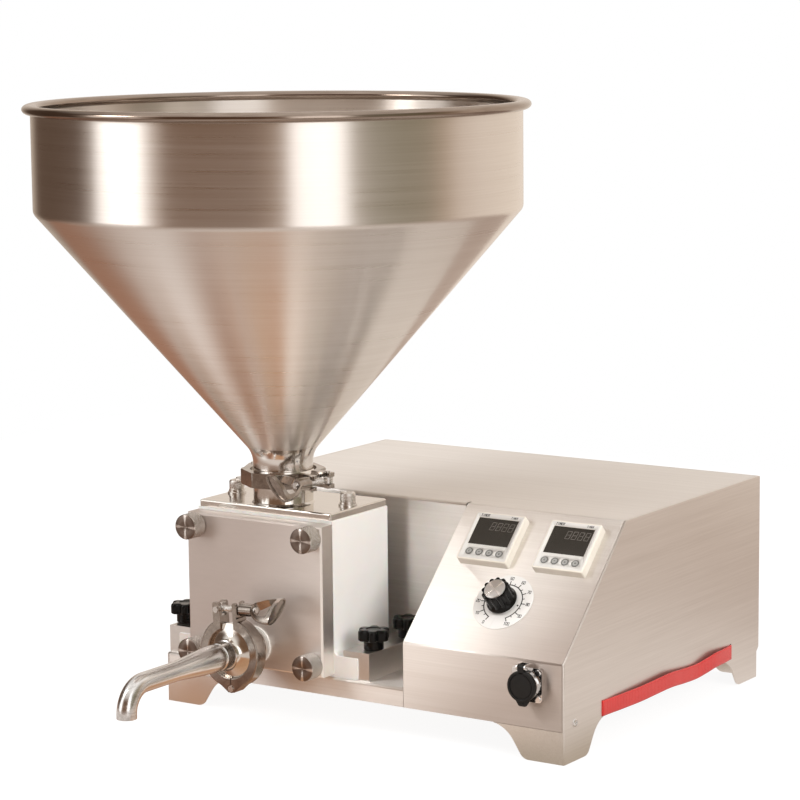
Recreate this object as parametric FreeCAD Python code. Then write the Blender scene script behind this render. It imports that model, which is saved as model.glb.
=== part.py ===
import FreeCAD, Part
import math
import os

# Counter-top donut filler. A gear pump with a steep hopper on top is clamped to the low
# shelf of a sheet steel housing; the motor, two timers and a speed dial are in the housing.
# Working frame: x from the housing's left side, y from its front face to the back, z from
# the floor. Every piece is moved at export so that the origin is under the middle of the
# whole machine. All sizes are in millimetres.

Vector = FreeCAD.Vector
Rotation = FreeCAD.Rotation
Placement = FreeCAD.Placement
right = Vector(1, 0, 0)
back = Vector(0, 1, 0)
up = Vector(0, 0, 1)

# ---- housing ----
housing_width = 400.0
housing_depth = 345.0
housing_height = 182.0
front_height = 82.0          # upright front of the console
slope_depth = 102.0          # the sloping panel ends this far back
sheet = 1.5
bend_radius = 1.0            # inside radius of every fold
seam_gap = 0.3
seam_height = 27.0           # lower edge of the covers, top of the arches
shelf_height = 43.0
shelf_tail = 8.0             # the shelf runs on this far behind the recess wall
foot_width = 38.0
foot_slant = 17.4
foot_round = 9.0
arch_round = 27.0
rear_foot_inset = 3.0
corner_round = 1.2           # upright outer edges of the folded feet
inner_flange = 14.0
notch_width = 2.0
notch_length = 7.0

# ---- pump ----
pump_x = 105.0               # middle of the pump, hopper and spout
pump_front = 3.5             # front face of the white body
pump_width = 140.0
pump_depth = 82.5
pump_top = 175.5
body_corner = 2.0
foot_reach = 24.0            # each white foot stands out this far from the body
foot_flange_height = 18.0
foot_cove = 5.0
cover_thickness = 16.5
cover_bottom = 45.0
cover_top_gap = 2.5
cover_chamfer = 1.5
gear_module = 5.0
gear_teeth = 10
pressure_angle = 28.0
gear_tip_radius = 29.5
gear_root_radius = 19.8
gear_backlash = 0.4
gear_length = 55.6
gear_side_gap = 0.5
chamber_gap = 0.4
gear_axis_z = 112.0
shaft_radius = 8.0
running_gap = 0.05
shaft_seal_radius = 14.0
shaft_seal_length = 8.0
bearing_depth = 8.0
throat_radius = 23.9

# ---- hopper and its flange joint ----
inlet_plate_thickness = 6.0
inlet_plate_inset = 1.5
inlet_plate_overhang = 1.5
inlet_joint_z = 204.0        # middle of the gasket between the two flanges
tube_radius = 25.6
tube_wall = 1.6
inlet_flange_radius = 32.0
hopper_radius = 205.5
hopper_wall = 1.5
hopper_fold_z = 432.0
hopper_neck_z = 224.0
hopper_rim_z = 522.0
rim_bead_radius = 6.0
rim_bead_clearance = 1.0
fold_round = 8.0
neck_round = 22.0
gasket_half = 1.0
flange_rim = 1.8
flange_taper = math.tan(math.radians(20))
weld_radius = 1.6

# ---- outlet and spout ----
outlet_z = 65.0
outlet_joint_y = -43.5
outlet_tube_radius = 12.7
outlet_flange_radius = 25.25
outlet_washer_radius = 16.5
outlet_washer_thickness = 1.6
outlet_collar_radius = 15.0
outlet_collar_length = 3.0
spout_root_radius = 11.2
spout_tip_radius = 8.2
spout_wall = 1.2
spout_cone_start = 41.0      # from the joint
spout_cone_length = 36.0
spout_reach = 142.0          # from the joint to the tip's middle
spout_bend_radius = 22.0
spout_drop = 25.0            # from the outlet's axis down to the tip

# ---- tri-clamps ----
clamp_half_width = 6.5
clamp_lip = 3.8              # how far the lips reach inside the flange's rim
clamp_body = 4.4             # outside the flange's rim
clamp_rim_gap = 0.5
ear_gap = 13.5
pivot_ear_thickness = 7.0
slot_ear_thickness = 4.5
ear_round = 6.2              # ears end this far above the bolt's axis
ear_corner = 2.0
ear_lift = 7.3               # bolt axis above the ring's outside
clamp_split = 0.6
hinge_lift = 0.4
knuckle_radius = 3.6
knuckle_half = 2.4
knuckle_gap = 0.2
clamp_pin_radius = 1.6
pin_head_radius = 2.6
pin_head_height = 1.0
clamp_bolt_radius = 3.2
clamp_bolt_length = 38.0     # from the pivot
eye_radius = 4.8
eye_half = 3.0
slot_half = 3.6
nut_barrel_radius = 5.7
nut_barrel_length = 13.5
nut_face_gap = 0.3
nut_length = 37.0
nut_shoulder = 23.5          # the flared handle reaches its full width here
nut_end_long = 15.3          # half sizes of the handle's oval end
nut_end_short = 5.4
nut_window_start = 14.5
nut_window_end = 33.0
nut_side_wall = 3.0
nut_end_dish = 1.4
hopper_clamp_angle = -101.3  # turn of the hopper's clamp about the hopper's axis
spout_clamp_angle = 3.7
hopper_nut_turn = -38.0
spout_nut_turn = -58.0
hopper_clamp_facets = 8

# ---- thumb nuts, clamp bars and star knobs ----
stud_radius = 4.0
stud_inset = 10.0            # from the front cover's edges
stud_depth = 20.0
thumb_nut_radius = 10.9
thumb_nut_length = 15.5
thumb_nut_gap = 0.3
thumb_nut_edge = 0.5
thumb_nut_bore = 0.7         # share of its length that is threaded
bar_reach = 105.0            # from the pump's middle to a bar's outer face
bar_lip = 5.5
bar_width = 26.0
bar_front = 4.5
bar_length = 88.0
bar_edge = 0.8
knob_reach = 99.0            # from the pump's middle to a star knob's axis
knob_front_y = 20.5
knob_spacing = 52.0
knob_hub_radius = 8.4
knob_hub_height = 7.5
knob_height = 17.5
knob_lobes = 6
knob_lobe_ring = 9.8
knob_lobe_radius = 4.2
knob_gap = 0.4
knob_stud_depth = 11.0

# ---- screws on the inlet plate ----
cap_screw_radius = 6.5
cap_screw_head = 8.0
cap_screw_socket = 3.6
cap_washer_radius = 8.0
cap_washer = 1.6
spring_washer_radius = 6.9
spring_washer = 2.2
screw_shank = 4.0
screw_bite = 16.0
inlet_screw_reach = 58.5     # from the pump's middle
inlet_screw_y = 43.5

# ---- console ----
console_gap = 142.0          # from the pump's middle to the console's left edge
timer_size = 48.0
timer_spread = 0.474         # the timers' spacing as a share of the console's width
timer_shift = 1.75           # the pair's middle, right of the console's middle
timer_s = 106.8              # middle of the timers, up the slope from its lower fold
timer_proud = 8.0
timer_corner = 1.5
timer_body_size = 44.6
timer_body_depth = 72.0
timer_window_width = 38.5
timer_window_height = 27.0
timer_window_top = 5.5
timer_window_depth = 1.6
button_radius = 3.3
button_pitch = 9.7
button_from_edge = 8.2
button_gap = 0.15
button_proud = 0.5
button_travel = 0.8
button_depth = 3.0
button_well = 4.2
dial_shift = -1.5            # from the console's middle
dial_s = 50.4
dial_radius = 26.5
dial_thickness = 0.8
knob_skirt_radius = 13.2
knob_grip_radius = 12.0
dial_knob_height = 18.5
knob_skirt_height = 3.5
knob_flutes = 12
flute_radius = 2.2
knob_cap_radius = 9.2
knob_cap_rise = 0.8
pot_bush_radius = 4.6
pot_bush_height = 4.5
pot_nut_radius = 7.0
pot_nut_height = 2.2
pot_body_radius = 12.0
pot_body_depth = 11.0
pot_shaft_radius = 3.0
pot_stem = 8.0

# ---- pedal socket on the console's front ----
socket_inset = 32.0          # from the housing's right side
socket_z = 63.4
socket_flange = 28.0
socket_flange_thickness = 4.0
socket_corner = 3.0
socket_barrel_radius = 11.6
socket_barrel_length = 5.0
socket_bore_radius = 8.5
socket_back_radius = 10.5
socket_back_length = 18.0
socket_screw_offset = 10.4
socket_screw_radius = 2.4
socket_screw_height = 1.4
cap_radius = 12.8
cap_thickness = 4.6
cap_gap = 0.3
cap_rim = 0.8
cap_rim_width = 2.2
cap_pivot_rise = 15.6
cap_lug_half = 2.7
cap_lug_radius = 2.4
cap_tab_length = 5.2
cap_tab_width = 8.0
cap_pin_radius = 1.0
cap_ear = 1.6
cap_ear_half = 2.2

# ---- rear ----
inlet_module_inset = 70.0    # from the housing's right side
inlet_module_z = 84.0
module_width = 50.0
module_height = 70.0
module_flange = 2.5
module_body_width = 29.0
module_body_height = 62.0
module_body_depth = 24.0
module_corner = 4.0
inlet_slot_width = 24.6
inlet_slot_height = 16.6
inlet_slot_depth = 16.0
inlet_slot_drop = 16.0       # below the module's middle
inlet_pin_length = 11.0
rocker_rise = 17.0           # above the module's middle
rocker_radius = 12.4
rocker_width = 19.2
rocker_gap = 0.4
rocker_face_angle = 10.0
rocker_pivot_depth = 4.0
vent_slots = 7
vent_length = 46.0
vent_width = 4.0
vent_pitch = 10.0
vent_columns = (70.0, 150.0)
vent_low_z = 60.0

# ---- case screws ----
case_screw_radius = 3.4
case_screw_head = 1.6
case_screw_shank = 2.0
case_screw_inset = 17.5
case_screw_z = 31.5

# ---- carry straps ----
strap_width = 13.0
strap_thickness = 1.5
strap_front_y = 62.0
strap_rear_inset = 55.0      # from the housing's back
strap_low_z = 26.8
strap_slack = 4.5
strap_tuck = 12.0
strap_hole_gap = 0.4
strap_lead = 0.6             # the straps leave the panel straight for this far

# ---- inside the housing ----
coupling_radius = 14.0
coupling_gap = 2.0
coupling_length = 29.0
wall_hole_radius = 17.0
pump_shaft_tail = 14.0
motor_shaft_radius = 7.0
bracket_y = 121.0
bracket_thickness = 3.0
bracket_width = 110.0
bracket_height = 128.0
bracket_foot = 60.0
gearbox_size = 72.0
gearbox_length = 62.0
motor_radius = 33.0
motor_length = 112.0
motor_cap_share = 0.6
motor_cap_length = 8.0
supply_size = (98.0, 110.0, 36.0)
supply_right_inset = 34.0    # from the housing's right side
supply_rear_inset = 30.0     # from the housing's back
supply_step = 14.0           # the lower step for its terminals
supply_step_share = 0.55
board_size = (86.0, 70.0, 1.6)
board_right_inset = 44.0
board_gap = 19.0             # in front of the power supply
board_lift = 6.0
board_post_radius = 3.0
board_post_inset = 5.0
sink_size = (38.0, 10.0, 24.0)
sink_place = (12.0, 10.0)    # from the board's corner
capacitor_radius = 8.0
capacitor_height = 22.0
capacitor_pitch = 20.0


# ------------------------------------------------------------------ helpers
def block(x0, x1, y0, y1, z0, z1):
    """A box between two corners."""
    return Part.makeBox(x1 - x0, y1 - y0, z1 - z0, Vector(x0, y0, z0))


def rod(radius, start, direction, length):
    """A round bar from a point along a direction."""
    return Part.makeCylinder(radius, length, start, direction)


def outline(points, spot):
    """A closed wire through (u, v) or (u, v, radius) corners; spot(u, v) gives the 3-D point."""
    corners = [(p[0], p[1], p[2] if len(p) > 2 else 0.0) for p in points]
    pieces = []
    for i, (u, v, radius) in enumerate(corners):
        before, after = corners[i - 1], corners[(i + 1) % len(corners)]
        if radius <= 0:
            pieces.append([(u, v)])
            continue
        a = FreeCAD.Base.Vector2d(before[0] - u, before[1] - v)
        b = FreeCAD.Base.Vector2d(after[0] - u, after[1] - v)
        a_length, b_length = math.hypot(a.x, a.y), math.hypot(b.x, b.y)
        ax, ay, bx, by = a.x / a_length, a.y / a_length, b.x / b_length, b.y / b_length
        half = math.acos(max(-1.0, min(1.0, ax * bx + ay * by))) / 2
        cut = radius / math.tan(half)
        middle = radius / math.sin(half) - radius
        mx, my = ax + bx, ay + by
        m_length = math.hypot(mx, my)
        start = (u + ax * cut, v + ay * cut)
        top = (u + mx / m_length * middle, v + my / m_length * middle)
        end = (u + bx * cut, v + by * cut)
        pieces.append([start, top, end])
    edges = []
    for i, piece in enumerate(pieces):
        if len(piece) == 3:
            edges.append(Part.Arc(*[spot(*p) for p in piece]).toShape())
        a, b = spot(*piece[-1]), spot(*pieces[(i + 1) % len(pieces)][0])
        if a.distanceToPoint(b) > 1e-6:
            edges.append(Part.makeLine(a, b))
    return Part.Wire(edges)


def across(x):
    """Outline given as (y, z) in the upright plane at x."""
    return lambda u, v: Vector(x, u, v)


def facing(y):
    """Outline given as (x, z) in the upright plane at y."""
    return lambda u, v: Vector(u, y, v)


def level(z):
    """Outline given as (x, y) in the level plane at z."""
    return lambda u, v: Vector(u, v, z)


def slab(points, spot, run):
    """An outline pushed along a vector."""
    return Part.Face(outline(points, spot)).extrude(run)


def turned(points, centre=Vector(0, 0, 0), axis=up):
    """A solid of revolution; points are (radius, height along the axis)."""
    side = right if abs(axis.dot(right)) < 0.5 else up
    wire = outline(points, lambda r, h: centre + side * r + axis * h)
    return Part.Face(wire).revolve(centre, axis, 360)


def bent_sheet(line, spot, run, thickness=sheet, radius=bend_radius):
    """Folded sheet: an open line of (u, v) points, thickened to its left and pushed along run."""
    count = len(line)
    turns = [0.0] * count
    normals = []
    for (u0, v0), (u1, v1) in zip(line, line[1:]):
        length = math.hypot(u1 - u0, v1 - v0)
        normals.append((-(v1 - v0) / length, (u1 - u0) / length))
    shifted = []
    for i, (u, v) in enumerate(line):
        n0, n1 = normals[max(i - 1, 0)], normals[min(i, count - 2)]
        scale = thickness / (1 + n0[0] * n1[0] + n0[1] * n1[1])
        shifted.append((u + (n0[0] + n1[0]) * scale, v + (n0[1] + n1[1]) * scale))
        turns[i] = n0[0] * n1[1] - n0[1] * n1[0]
    near = []
    far = []
    for (u, v), (su, sv), turn in zip(line, shifted, turns):
        near.append((u, v, 0 if abs(turn) < 1e-9 else radius + (thickness if turn > 0 else 0)))
        far.append((su, sv, 0 if abs(turn) < 1e-9 else radius + (thickness if turn < 0 else 0)))
    return slab(near + far[::-1], spot, run)


def softened(shape, radius, keep):
    """Round the edges whose middle point passes keep(point, direction)."""
    chosen = []
    for edge in shape.Edges:
        if not isinstance(edge.Curve, (Part.Line, Part.LineSegment)):
            continue
        run = edge.lastVertex().Point - edge.firstVertex().Point
        if run.Length < 1e-6:
            continue
        if keep(edge.CenterOfMass, run.normalize()):
            chosen.append(edge)
    return shape.makeFillet(radius, chosen)


def rounded_plate(width, height, corner, centre, run):
    """A plate with rounded corners in the x-z plane, centred on a point."""
    w, h = width / 2, height / 2
    points = [(-w, -h, corner), (w, -h, corner), (w, h, corner), (-w, h, corner)]
    return slab(points, lambda u, v: centre + Vector(u, 0, v), run)


def moved(shape, placement):
    """The shape carried by a placement."""
    copy = shape.copy()
    copy.Placement = placement.multiply(copy.Placement)
    return copy


# ------------------------------------------------------------------ places worked out
slope_rise = housing_height - front_height
slope_angle = math.degrees(math.atan2(slope_rise, slope_depth))
on_slope = Placement(Vector(0, 0, front_height), Rotation(right, slope_angle))
console_left = pump_x + console_gap
console_width = housing_width - console_left
console_middle = console_left + console_width / 2
dial_x = console_middle + dial_shift
socket_x = housing_width - socket_inset
inlet_module_x = housing_width - inlet_module_inset
strap_rear_y = housing_depth - strap_rear_inset
cover_front = pump_front - cover_thickness
pump_back = pump_front + pump_depth
cover_top = pump_top - cover_top_gap
gear_distance = gear_module * gear_teeth
drive_x = pump_x + gear_distance / 2
idler_x = pump_x - gear_distance / 2
chamber_back = pump_front + gear_length + 2 * gear_side_gap
hopper_y = pump_front + gear_side_gap + gear_length / 2    # over the middle of the gears
inlet_screw_places = [(pump_x + side * inlet_screw_reach, inlet_screw_y) for side in (-1, 1)]
bar_top = shelf_height + foot_flange_height + bar_lip
inlet_plate_top = pump_top + inlet_plate_thickness
stud_places = [(pump_x + side * (pump_width / 2 - stud_inset), z)
               for side in (-1, 1) for z in (cover_bottom + stud_inset, cover_top - stud_inset)]
knob_places = {"right_front": (pump_x + knob_reach, knob_front_y),
               "right_rear": (pump_x + knob_reach, knob_front_y + knob_spacing),
               "left_front": (pump_x - knob_reach, knob_front_y),
               "left_rear": (pump_x - knob_reach, knob_front_y + knob_spacing)}
coupling_start = pump_back + coupling_gap
shaft_meeting = coupling_start + pump_shaft_tail
spout_tip_y = outlet_joint_y - spout_reach
spout_tip_z = outlet_z - spout_drop
socket_centre = Vector(socket_x, 0, socket_z)
module_centre = Vector(inlet_module_x, housing_depth, inlet_module_z)
timer_centres = [console_middle + timer_shift + side * timer_spread * console_width / 2
                 for side in (-1, 1)]
floor_top = seam_height + sheet
supply_place = (housing_width - supply_right_inset - supply_size[0],
                housing_depth - supply_rear_inset - supply_size[1])
board_place = (housing_width - board_right_inset - board_size[0],
               supply_place[1] - board_gap - board_size[1])


def case_screw_places():
    """(side, y) of each screw through a side panel."""
    return [(side, case_screw_inset) for side in (0, 1)]


# ------------------------------------------------------------------ housing
def foot_flange(front_y, left_x):
    """The folded front or rear face of a foot, drawn for the left side of the housing."""
    reach = foot_width + foot_slant + arch_round
    points = [(left_x, 0), (left_x + foot_width, 0, foot_round),
              (left_x + foot_width + foot_slant, seam_height, arch_round),
              (left_x + reach, seam_height), (left_x + reach, shelf_height), (left_x, shelf_height)]
    flange = slab(points, facing(front_y), back * sheet)
    return flange.common(block(left_x, left_x + reach, front_y - 1, front_y + sheet + 1,
                               -1, seam_height - seam_gap))


def side_panel(outer):
    """Side panel with its two feet; outer is the (y, z) line over the top, front to back."""
    rear = housing_depth - rear_foot_inset
    points = [(0, 0)] + outer + [
        (housing_depth, seam_height, rear_foot_inset), (rear, seam_height - rear_foot_inset),
        (rear, 0), (rear - foot_width, 0, foot_round),
        (rear - foot_width - foot_slant, seam_height, arch_round),
        (foot_width + foot_slant, seam_height, arch_round), (foot_width, 0, foot_round)]
    panel = slab(points, across(0), right * sheet)
    panel = panel.fuse([foot_flange(0, 0), foot_flange(rear - sheet, 0)]).removeSplitter()
    panel = softened(panel, corner_round, lambda p, d: abs(d.z) > 0.99 and p.x < 0.01
                     and (p.y < 0.01 or abs(p.y - rear) < 0.01))
    for y in (strap_front_y, strap_rear_y):
        low = strap_low_z - strap_hole_gap
        high = strap_low_z + strap_width + strap_hole_gap
        gap = strap_thickness / 2 + strap_hole_gap
        panel = panel.cut(block(-1, sheet + 1, y - gap, y + gap, low, high))
    for side, y in case_screw_places():
        if side == 0:
            panel = panel.cut(rod(case_screw_shank, Vector(-1, y, case_screw_z), right, sheet + 2))
    return panel


def side_panel_left():
    """Left panel: low beside the shelf, full height behind it."""
    return side_panel([(0, shelf_height, bend_radius), (slope_depth, shelf_height),
                       (slope_depth, housing_height, bend_radius),
                       (housing_depth, housing_height, bend_radius)])


def side_panel_right():
    """Right panel: follows the console's slope."""
    panel = side_panel([(0, front_height), (slope_depth, housing_height),
                        (housing_depth, housing_height, bend_radius)])
    return panel.mirror(Vector(housing_width / 2, 0, 0), right)


def top_cover():
    """Top, console slope, console front and recess wall, folded from one sheet."""
    left, far_right = sheet + seam_gap, housing_width - sheet - seam_gap
    rear = housing_depth - sheet - seam_gap
    console = bent_sheet([(rear, housing_height), (slope_depth, housing_height), (0, front_height),
                          (0, seam_height)], across(console_left), right * (far_right - console_left))
    recess = bent_sheet([(rear, housing_height), (slope_depth, housing_height),
                         (slope_depth, shelf_height)], across(left), right * (console_left - left))
    cover = console.fuse(recess).removeSplitter()
    cover = cover.cut(block(console_left - notch_width, console_left, slope_depth - 1,
                            slope_depth + notch_length, housing_height - notch_length,
                            housing_height + 1))
    opening = timer_body_size / 2 + seam_gap
    for x in timer_centres:
        hole = block(x - opening, x + opening, timer_s - opening, timer_s + opening, -10, 10)
        cover = cover.cut(moved(hole, on_slope))
    cover = cover.cut(moved(rod(pot_bush_radius, Vector(dial_x, dial_s, -10), up, 20), on_slope))
    cover = cover.cut(rod(socket_back_radius, socket_centre - back * 5, back, 10))
    return cover.cut(rod(wall_hole_radius, Vector(drive_x, slope_depth - 5, gear_axis_z), back, 10))


def console_wall():
    """Left side of the console, behind the edge of the folded cover."""
    foot = floor_top + seam_gap
    rear = slope_depth - seam_gap
    top = front_height - sheet * math.tan(math.radians(90 - slope_angle) / 2)
    points = [(sheet, foot), (sheet, top), (rear, top + (rear - sheet) * slope_rise / slope_depth),
              (rear, foot)]
    return slab(points, across(console_left), right * sheet)


def shelf_plate():
    """Low shelf the pump stands on, folded down in front."""
    left = sheet + seam_gap
    line = [(slope_depth + shelf_tail, shelf_height), (0, shelf_height), (0, seam_height)]
    plate = bent_sheet(line, across(left), right * (console_left - seam_gap - left))
    for x, y in knob_places.values():
        plate = plate.cut(rod(stud_radius, Vector(x, y, shelf_height - 5), up, 10))
    return plate


def base_plate():
    """Floor of the housing with folded sides that the case screws go into."""
    left, far_right = sheet, housing_width - sheet
    line = [(left, seam_height + inner_flange), (left, seam_height), (far_right, seam_height),
            (far_right, seam_height + inner_flange)]
    plate = bent_sheet(line, facing(sheet), back * (housing_depth - 2 * sheet))
    for side, y in case_screw_places():
        x = side * housing_width
        plate = plate.cut(rod(case_screw_shank, Vector(x - 6, y, case_screw_z), right, 12))
    gap = strap_thickness / 2 + strap_hole_gap
    slot_reach = strap_tuck + strap_hole_gap
    for y in (strap_front_y, strap_rear_y):
        for x in (0, housing_width - slot_reach):
            plate = plate.cut(block(x, x + slot_reach, y - gap, y + gap,
                                    strap_low_z - 2, seam_height + inner_flange + 1))
    return plate


def rear_panel():
    """Back of the housing with its vents and the opening for the power inlet."""
    y = housing_depth - sheet
    edge = sheet + seam_gap
    panel = block(edge, housing_width - edge, y, housing_depth, seam_height, housing_height)
    for x in vent_columns:
        for i in range(vent_slots):
            z = vent_low_z + i * vent_pitch
            panel = panel.cut(rounded_plate(vent_length, vent_width, vent_width / 2 - 0.05,
                                            Vector(x, y - 1, z), back * (sheet + 2)))
    w, h = module_body_width / 2, module_body_height / 2
    return panel.cut(block(inlet_module_x - w, inlet_module_x + w, y - 1, housing_depth + 1,
                           inlet_module_z - h, inlet_module_z + h))


def case_screws():
    """Pan head screws through the side panels into the floor's folded sides."""
    screws = []
    for side, y in case_screw_places():
        out = right * (1 if side else -1)
        face = Vector(side * housing_width, y, case_screw_z)
        head = rod(case_screw_radius, face, out, case_screw_head)
        head = head.makeFillet(case_screw_head * 0.6, [e for e in head.Edges
                                                       if abs((e.CenterOfMass - face).Length
                                                              - case_screw_head) < 1e-6])
        shank = rod(case_screw_shank, face, out * -1, 2 * sheet + 3)
        slot = block(-0.5, 0.5, -2.0, 2.0, -0.7, 0.7)
        slot = slot.fuse(block(-0.5, 0.5, -0.5, 0.5, -2.0, 2.0))
        slot.translate(face + out * case_screw_head)
        screws.append(head.fuse(shank).cut(slot))
    return Part.makeCompound(screws)


def carry_straps():
    """One webbing strap low on each side, its ends tucked in through the panel."""
    half = strap_thickness / 2
    front, rear = strap_front_y, strap_rear_y
    middle = (front + rear) / 2
    straps = []
    spot = level(strap_low_z)

    def side_line(offset):
        """Five points of one face: out from the panel, and along the housing."""
        return [Vector(-strap_tuck, front - offset, 0), Vector(strap_lead, front - offset, 0),
                Vector(strap_slack + offset - half, middle, 0),
                Vector(strap_lead, rear + offset, 0), Vector(-strap_tuck, rear + offset, 0)]
    for side in (0, 1):
        base = side * housing_width
        sign = 1 if side else -1
        edges = []
        ends = []
        for offset in (half, -half):
            a, b, m, c, d = [spot(base + sign * p.x, p.y) for p in side_line(offset)]
            edges += [Part.makeLine(a, b), Part.Arc(b, m, c).toShape(), Part.makeLine(c, d)]
            ends.append((a, d))
        edges += [Part.makeLine(ends[0][0], ends[1][0]), Part.makeLine(ends[0][1], ends[1][1])]
        wire = Part.Wire(Part.__sortEdges__(edges))
        straps.append(Part.Face(wire).extrude(up * strap_width))
    return Part.makeCompound(straps)


# ------------------------------------------------------------------ pump
def gear(angle):
    """Straight gear about the y axis at the origin, one tooth middle at angle degrees."""
    pitch_radius = gear_module * gear_teeth / 2
    base_radius = pitch_radius * math.cos(math.radians(pressure_angle))
    tooth_half = (math.pi * gear_module / 2 - gear_backlash) / (2 * pitch_radius)
    flare = math.tan(math.radians(pressure_angle)) - math.radians(pressure_angle)

    def half_angle(radius):
        if radius <= base_radius:
            return tooth_half + flare
        roll = math.acos(base_radius / radius)
        return tooth_half + flare - (math.tan(roll) - roll)
    steps = 4
    radii = [gear_root_radius] + [base_radius + (gear_tip_radius - base_radius) * i / steps
                                  for i in range(steps + 1)]
    points = []
    for tooth in range(gear_teeth):
        centre = math.radians(angle) + 2 * math.pi * tooth / gear_teeth
        rising = [(r, centre - half_angle(r)) for r in radii]
        falling = [(r, centre + half_angle(r)) for r in radii[::-1]]
        points += [(r * math.cos(a), r * math.sin(a)) for r, a in rising + falling]
    y = pump_front + gear_side_gap
    return slab(points, facing(y), back * gear_length)


def pump_body():
    """White body: gear chamber, throat, outlet pocket, shaft bores and two long feet."""
    half = pump_width / 2
    left, far_right = pump_x - half, pump_x + half
    foot_top = shelf_height + foot_flange_height
    points = [(left - foot_reach, shelf_height, 1), (far_right + foot_reach, shelf_height, 1),
              (far_right + foot_reach, foot_top, 1), (far_right, foot_top, foot_cove),
              (far_right, pump_top, 1), (left, pump_top, 1), (left, foot_top, foot_cove),
              (left - foot_reach, foot_top, 1)]
    body = slab(points, facing(pump_front), back * pump_depth)
    chamber_radius = gear_tip_radius + chamber_gap
    chamber = [rod(chamber_radius, Vector(x, pump_front - 1, gear_axis_z), back,
                   chamber_back - pump_front + 1) for x in (drive_x, idler_x)]
    throat = rod(throat_radius, Vector(pump_x, hopper_y, gear_axis_z + 8), up,
                 pump_top - gear_axis_z - 7)
    pocket_bottom = outlet_z - outlet_tube_radius
    pocket = slab([(pump_x - outlet_tube_radius, pocket_bottom, 8),
                   (pump_x + outlet_tube_radius, pocket_bottom, 8),
                   (pump_x + outlet_tube_radius, gear_axis_z - 8),
                   (pump_x - outlet_tube_radius, gear_axis_z - 8)],
                  facing(pump_front - 1), back * (gear_length / 2))
    shaft = rod(shaft_radius + running_gap, Vector(drive_x, pump_front, gear_axis_z), back,
                pump_depth + 1)
    pin = rod(shaft_radius, Vector(idler_x, pump_front, gear_axis_z), back,
              chamber_back + bearing_depth - pump_front)
    seal = rod(shaft_seal_radius, Vector(drive_x, pump_back - shaft_seal_length, gear_axis_z),
               back, shaft_seal_length + 1)
    tools = chamber + [throat, pocket, shaft, pin, seal]
    tools += [rod(stud_radius, Vector(x, pump_front - 1, z), back, stud_depth + 1)
              for x, z in stud_places]
    tools += [rod(screw_shank, Vector(x, y, pump_top - screw_bite), up, screw_bite + 1)
              for x, y in inlet_screw_places]
    return body.cut(tools)


def front_cover():
    """Thick steel plate over the gears; the four thumb nuts hold it."""
    half = pump_width / 2
    cover = block(pump_x - half, pump_x + half, cover_front, pump_front, cover_bottom, cover_top)
    rim = [e for e in cover.Edges if e.BoundBox.YMax < cover_front + 0.01]
    cover = cover.makeChamfer(cover_chamfer, rim)
    tools = [rod(stud_radius, Vector(x, cover_front - 1, z), back, cover_thickness + 2)
             for x, z in stud_places]
    tools.append(rod(outlet_tube_radius, Vector(pump_x, cover_front - 1, outlet_z), back,
                     cover_thickness + 2))
    tools.append(rod(shaft_radius + running_gap,
                     Vector(drive_x, pump_front - bearing_depth - gear_side_gap, gear_axis_z), back,
                     bearing_depth + gear_side_gap + 1))
    tools.append(rod(shaft_radius, Vector(idler_x, pump_front - bearing_depth, gear_axis_z), back,
                     bearing_depth + 1))
    return cover.cut(tools)


def drive_gear():
    """Gear on the motor's side; the shaft passes through it."""
    wheel = gear(0)
    wheel.translate(Vector(drive_x, 0, gear_axis_z))
    return wheel.cut(rod(shaft_radius, Vector(drive_x, 0, gear_axis_z), back, chamber_back + 1))


def idler_gear():
    """Second gear, turning on a fixed pin, half a tooth round from the first."""
    wheel = gear(180.0 / gear_teeth)
    wheel.translate(Vector(idler_x, 0, gear_axis_z))
    bore = rod(shaft_radius + running_gap, Vector(idler_x, 0, gear_axis_z), back, chamber_back + 1)
    return wheel.cut(bore)


def drive_shafts():
    """The pump's shaft and the gearbox's shaft, end to end inside the coupling."""
    start = pump_front - bearing_depth
    pump_shaft = rod(shaft_radius, Vector(drive_x, start, gear_axis_z), back, shaft_meeting - start)
    motor_shaft = rod(motor_shaft_radius, Vector(drive_x, shaft_meeting, gear_axis_z), back,
                      bracket_y + bracket_thickness - seam_gap - shaft_meeting)
    return Part.makeCompound([pump_shaft, motor_shaft])


def idler_shaft():
    """Fixed pin, held in the body and in the front cover."""
    start = pump_front - bearing_depth
    return rod(shaft_radius, Vector(idler_x, start, gear_axis_z), back,
               chamber_back + bearing_depth - start)


def shaft_coupling():
    """Sleeve that joins the two shafts, with a set screw in each end."""
    start = Vector(drive_x, coupling_start, gear_axis_z)
    sleeve = rod(coupling_radius, start, back, coupling_length)
    sleeve = sleeve.makeChamfer(1, [e for e in sleeve.Edges if e.Closed])
    sleeve = sleeve.cut(rod(shaft_radius, start - back, back, pump_shaft_tail + 1))
    return sleeve.cut(rod(motor_shaft_radius, start, back, coupling_length + 1))


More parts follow.
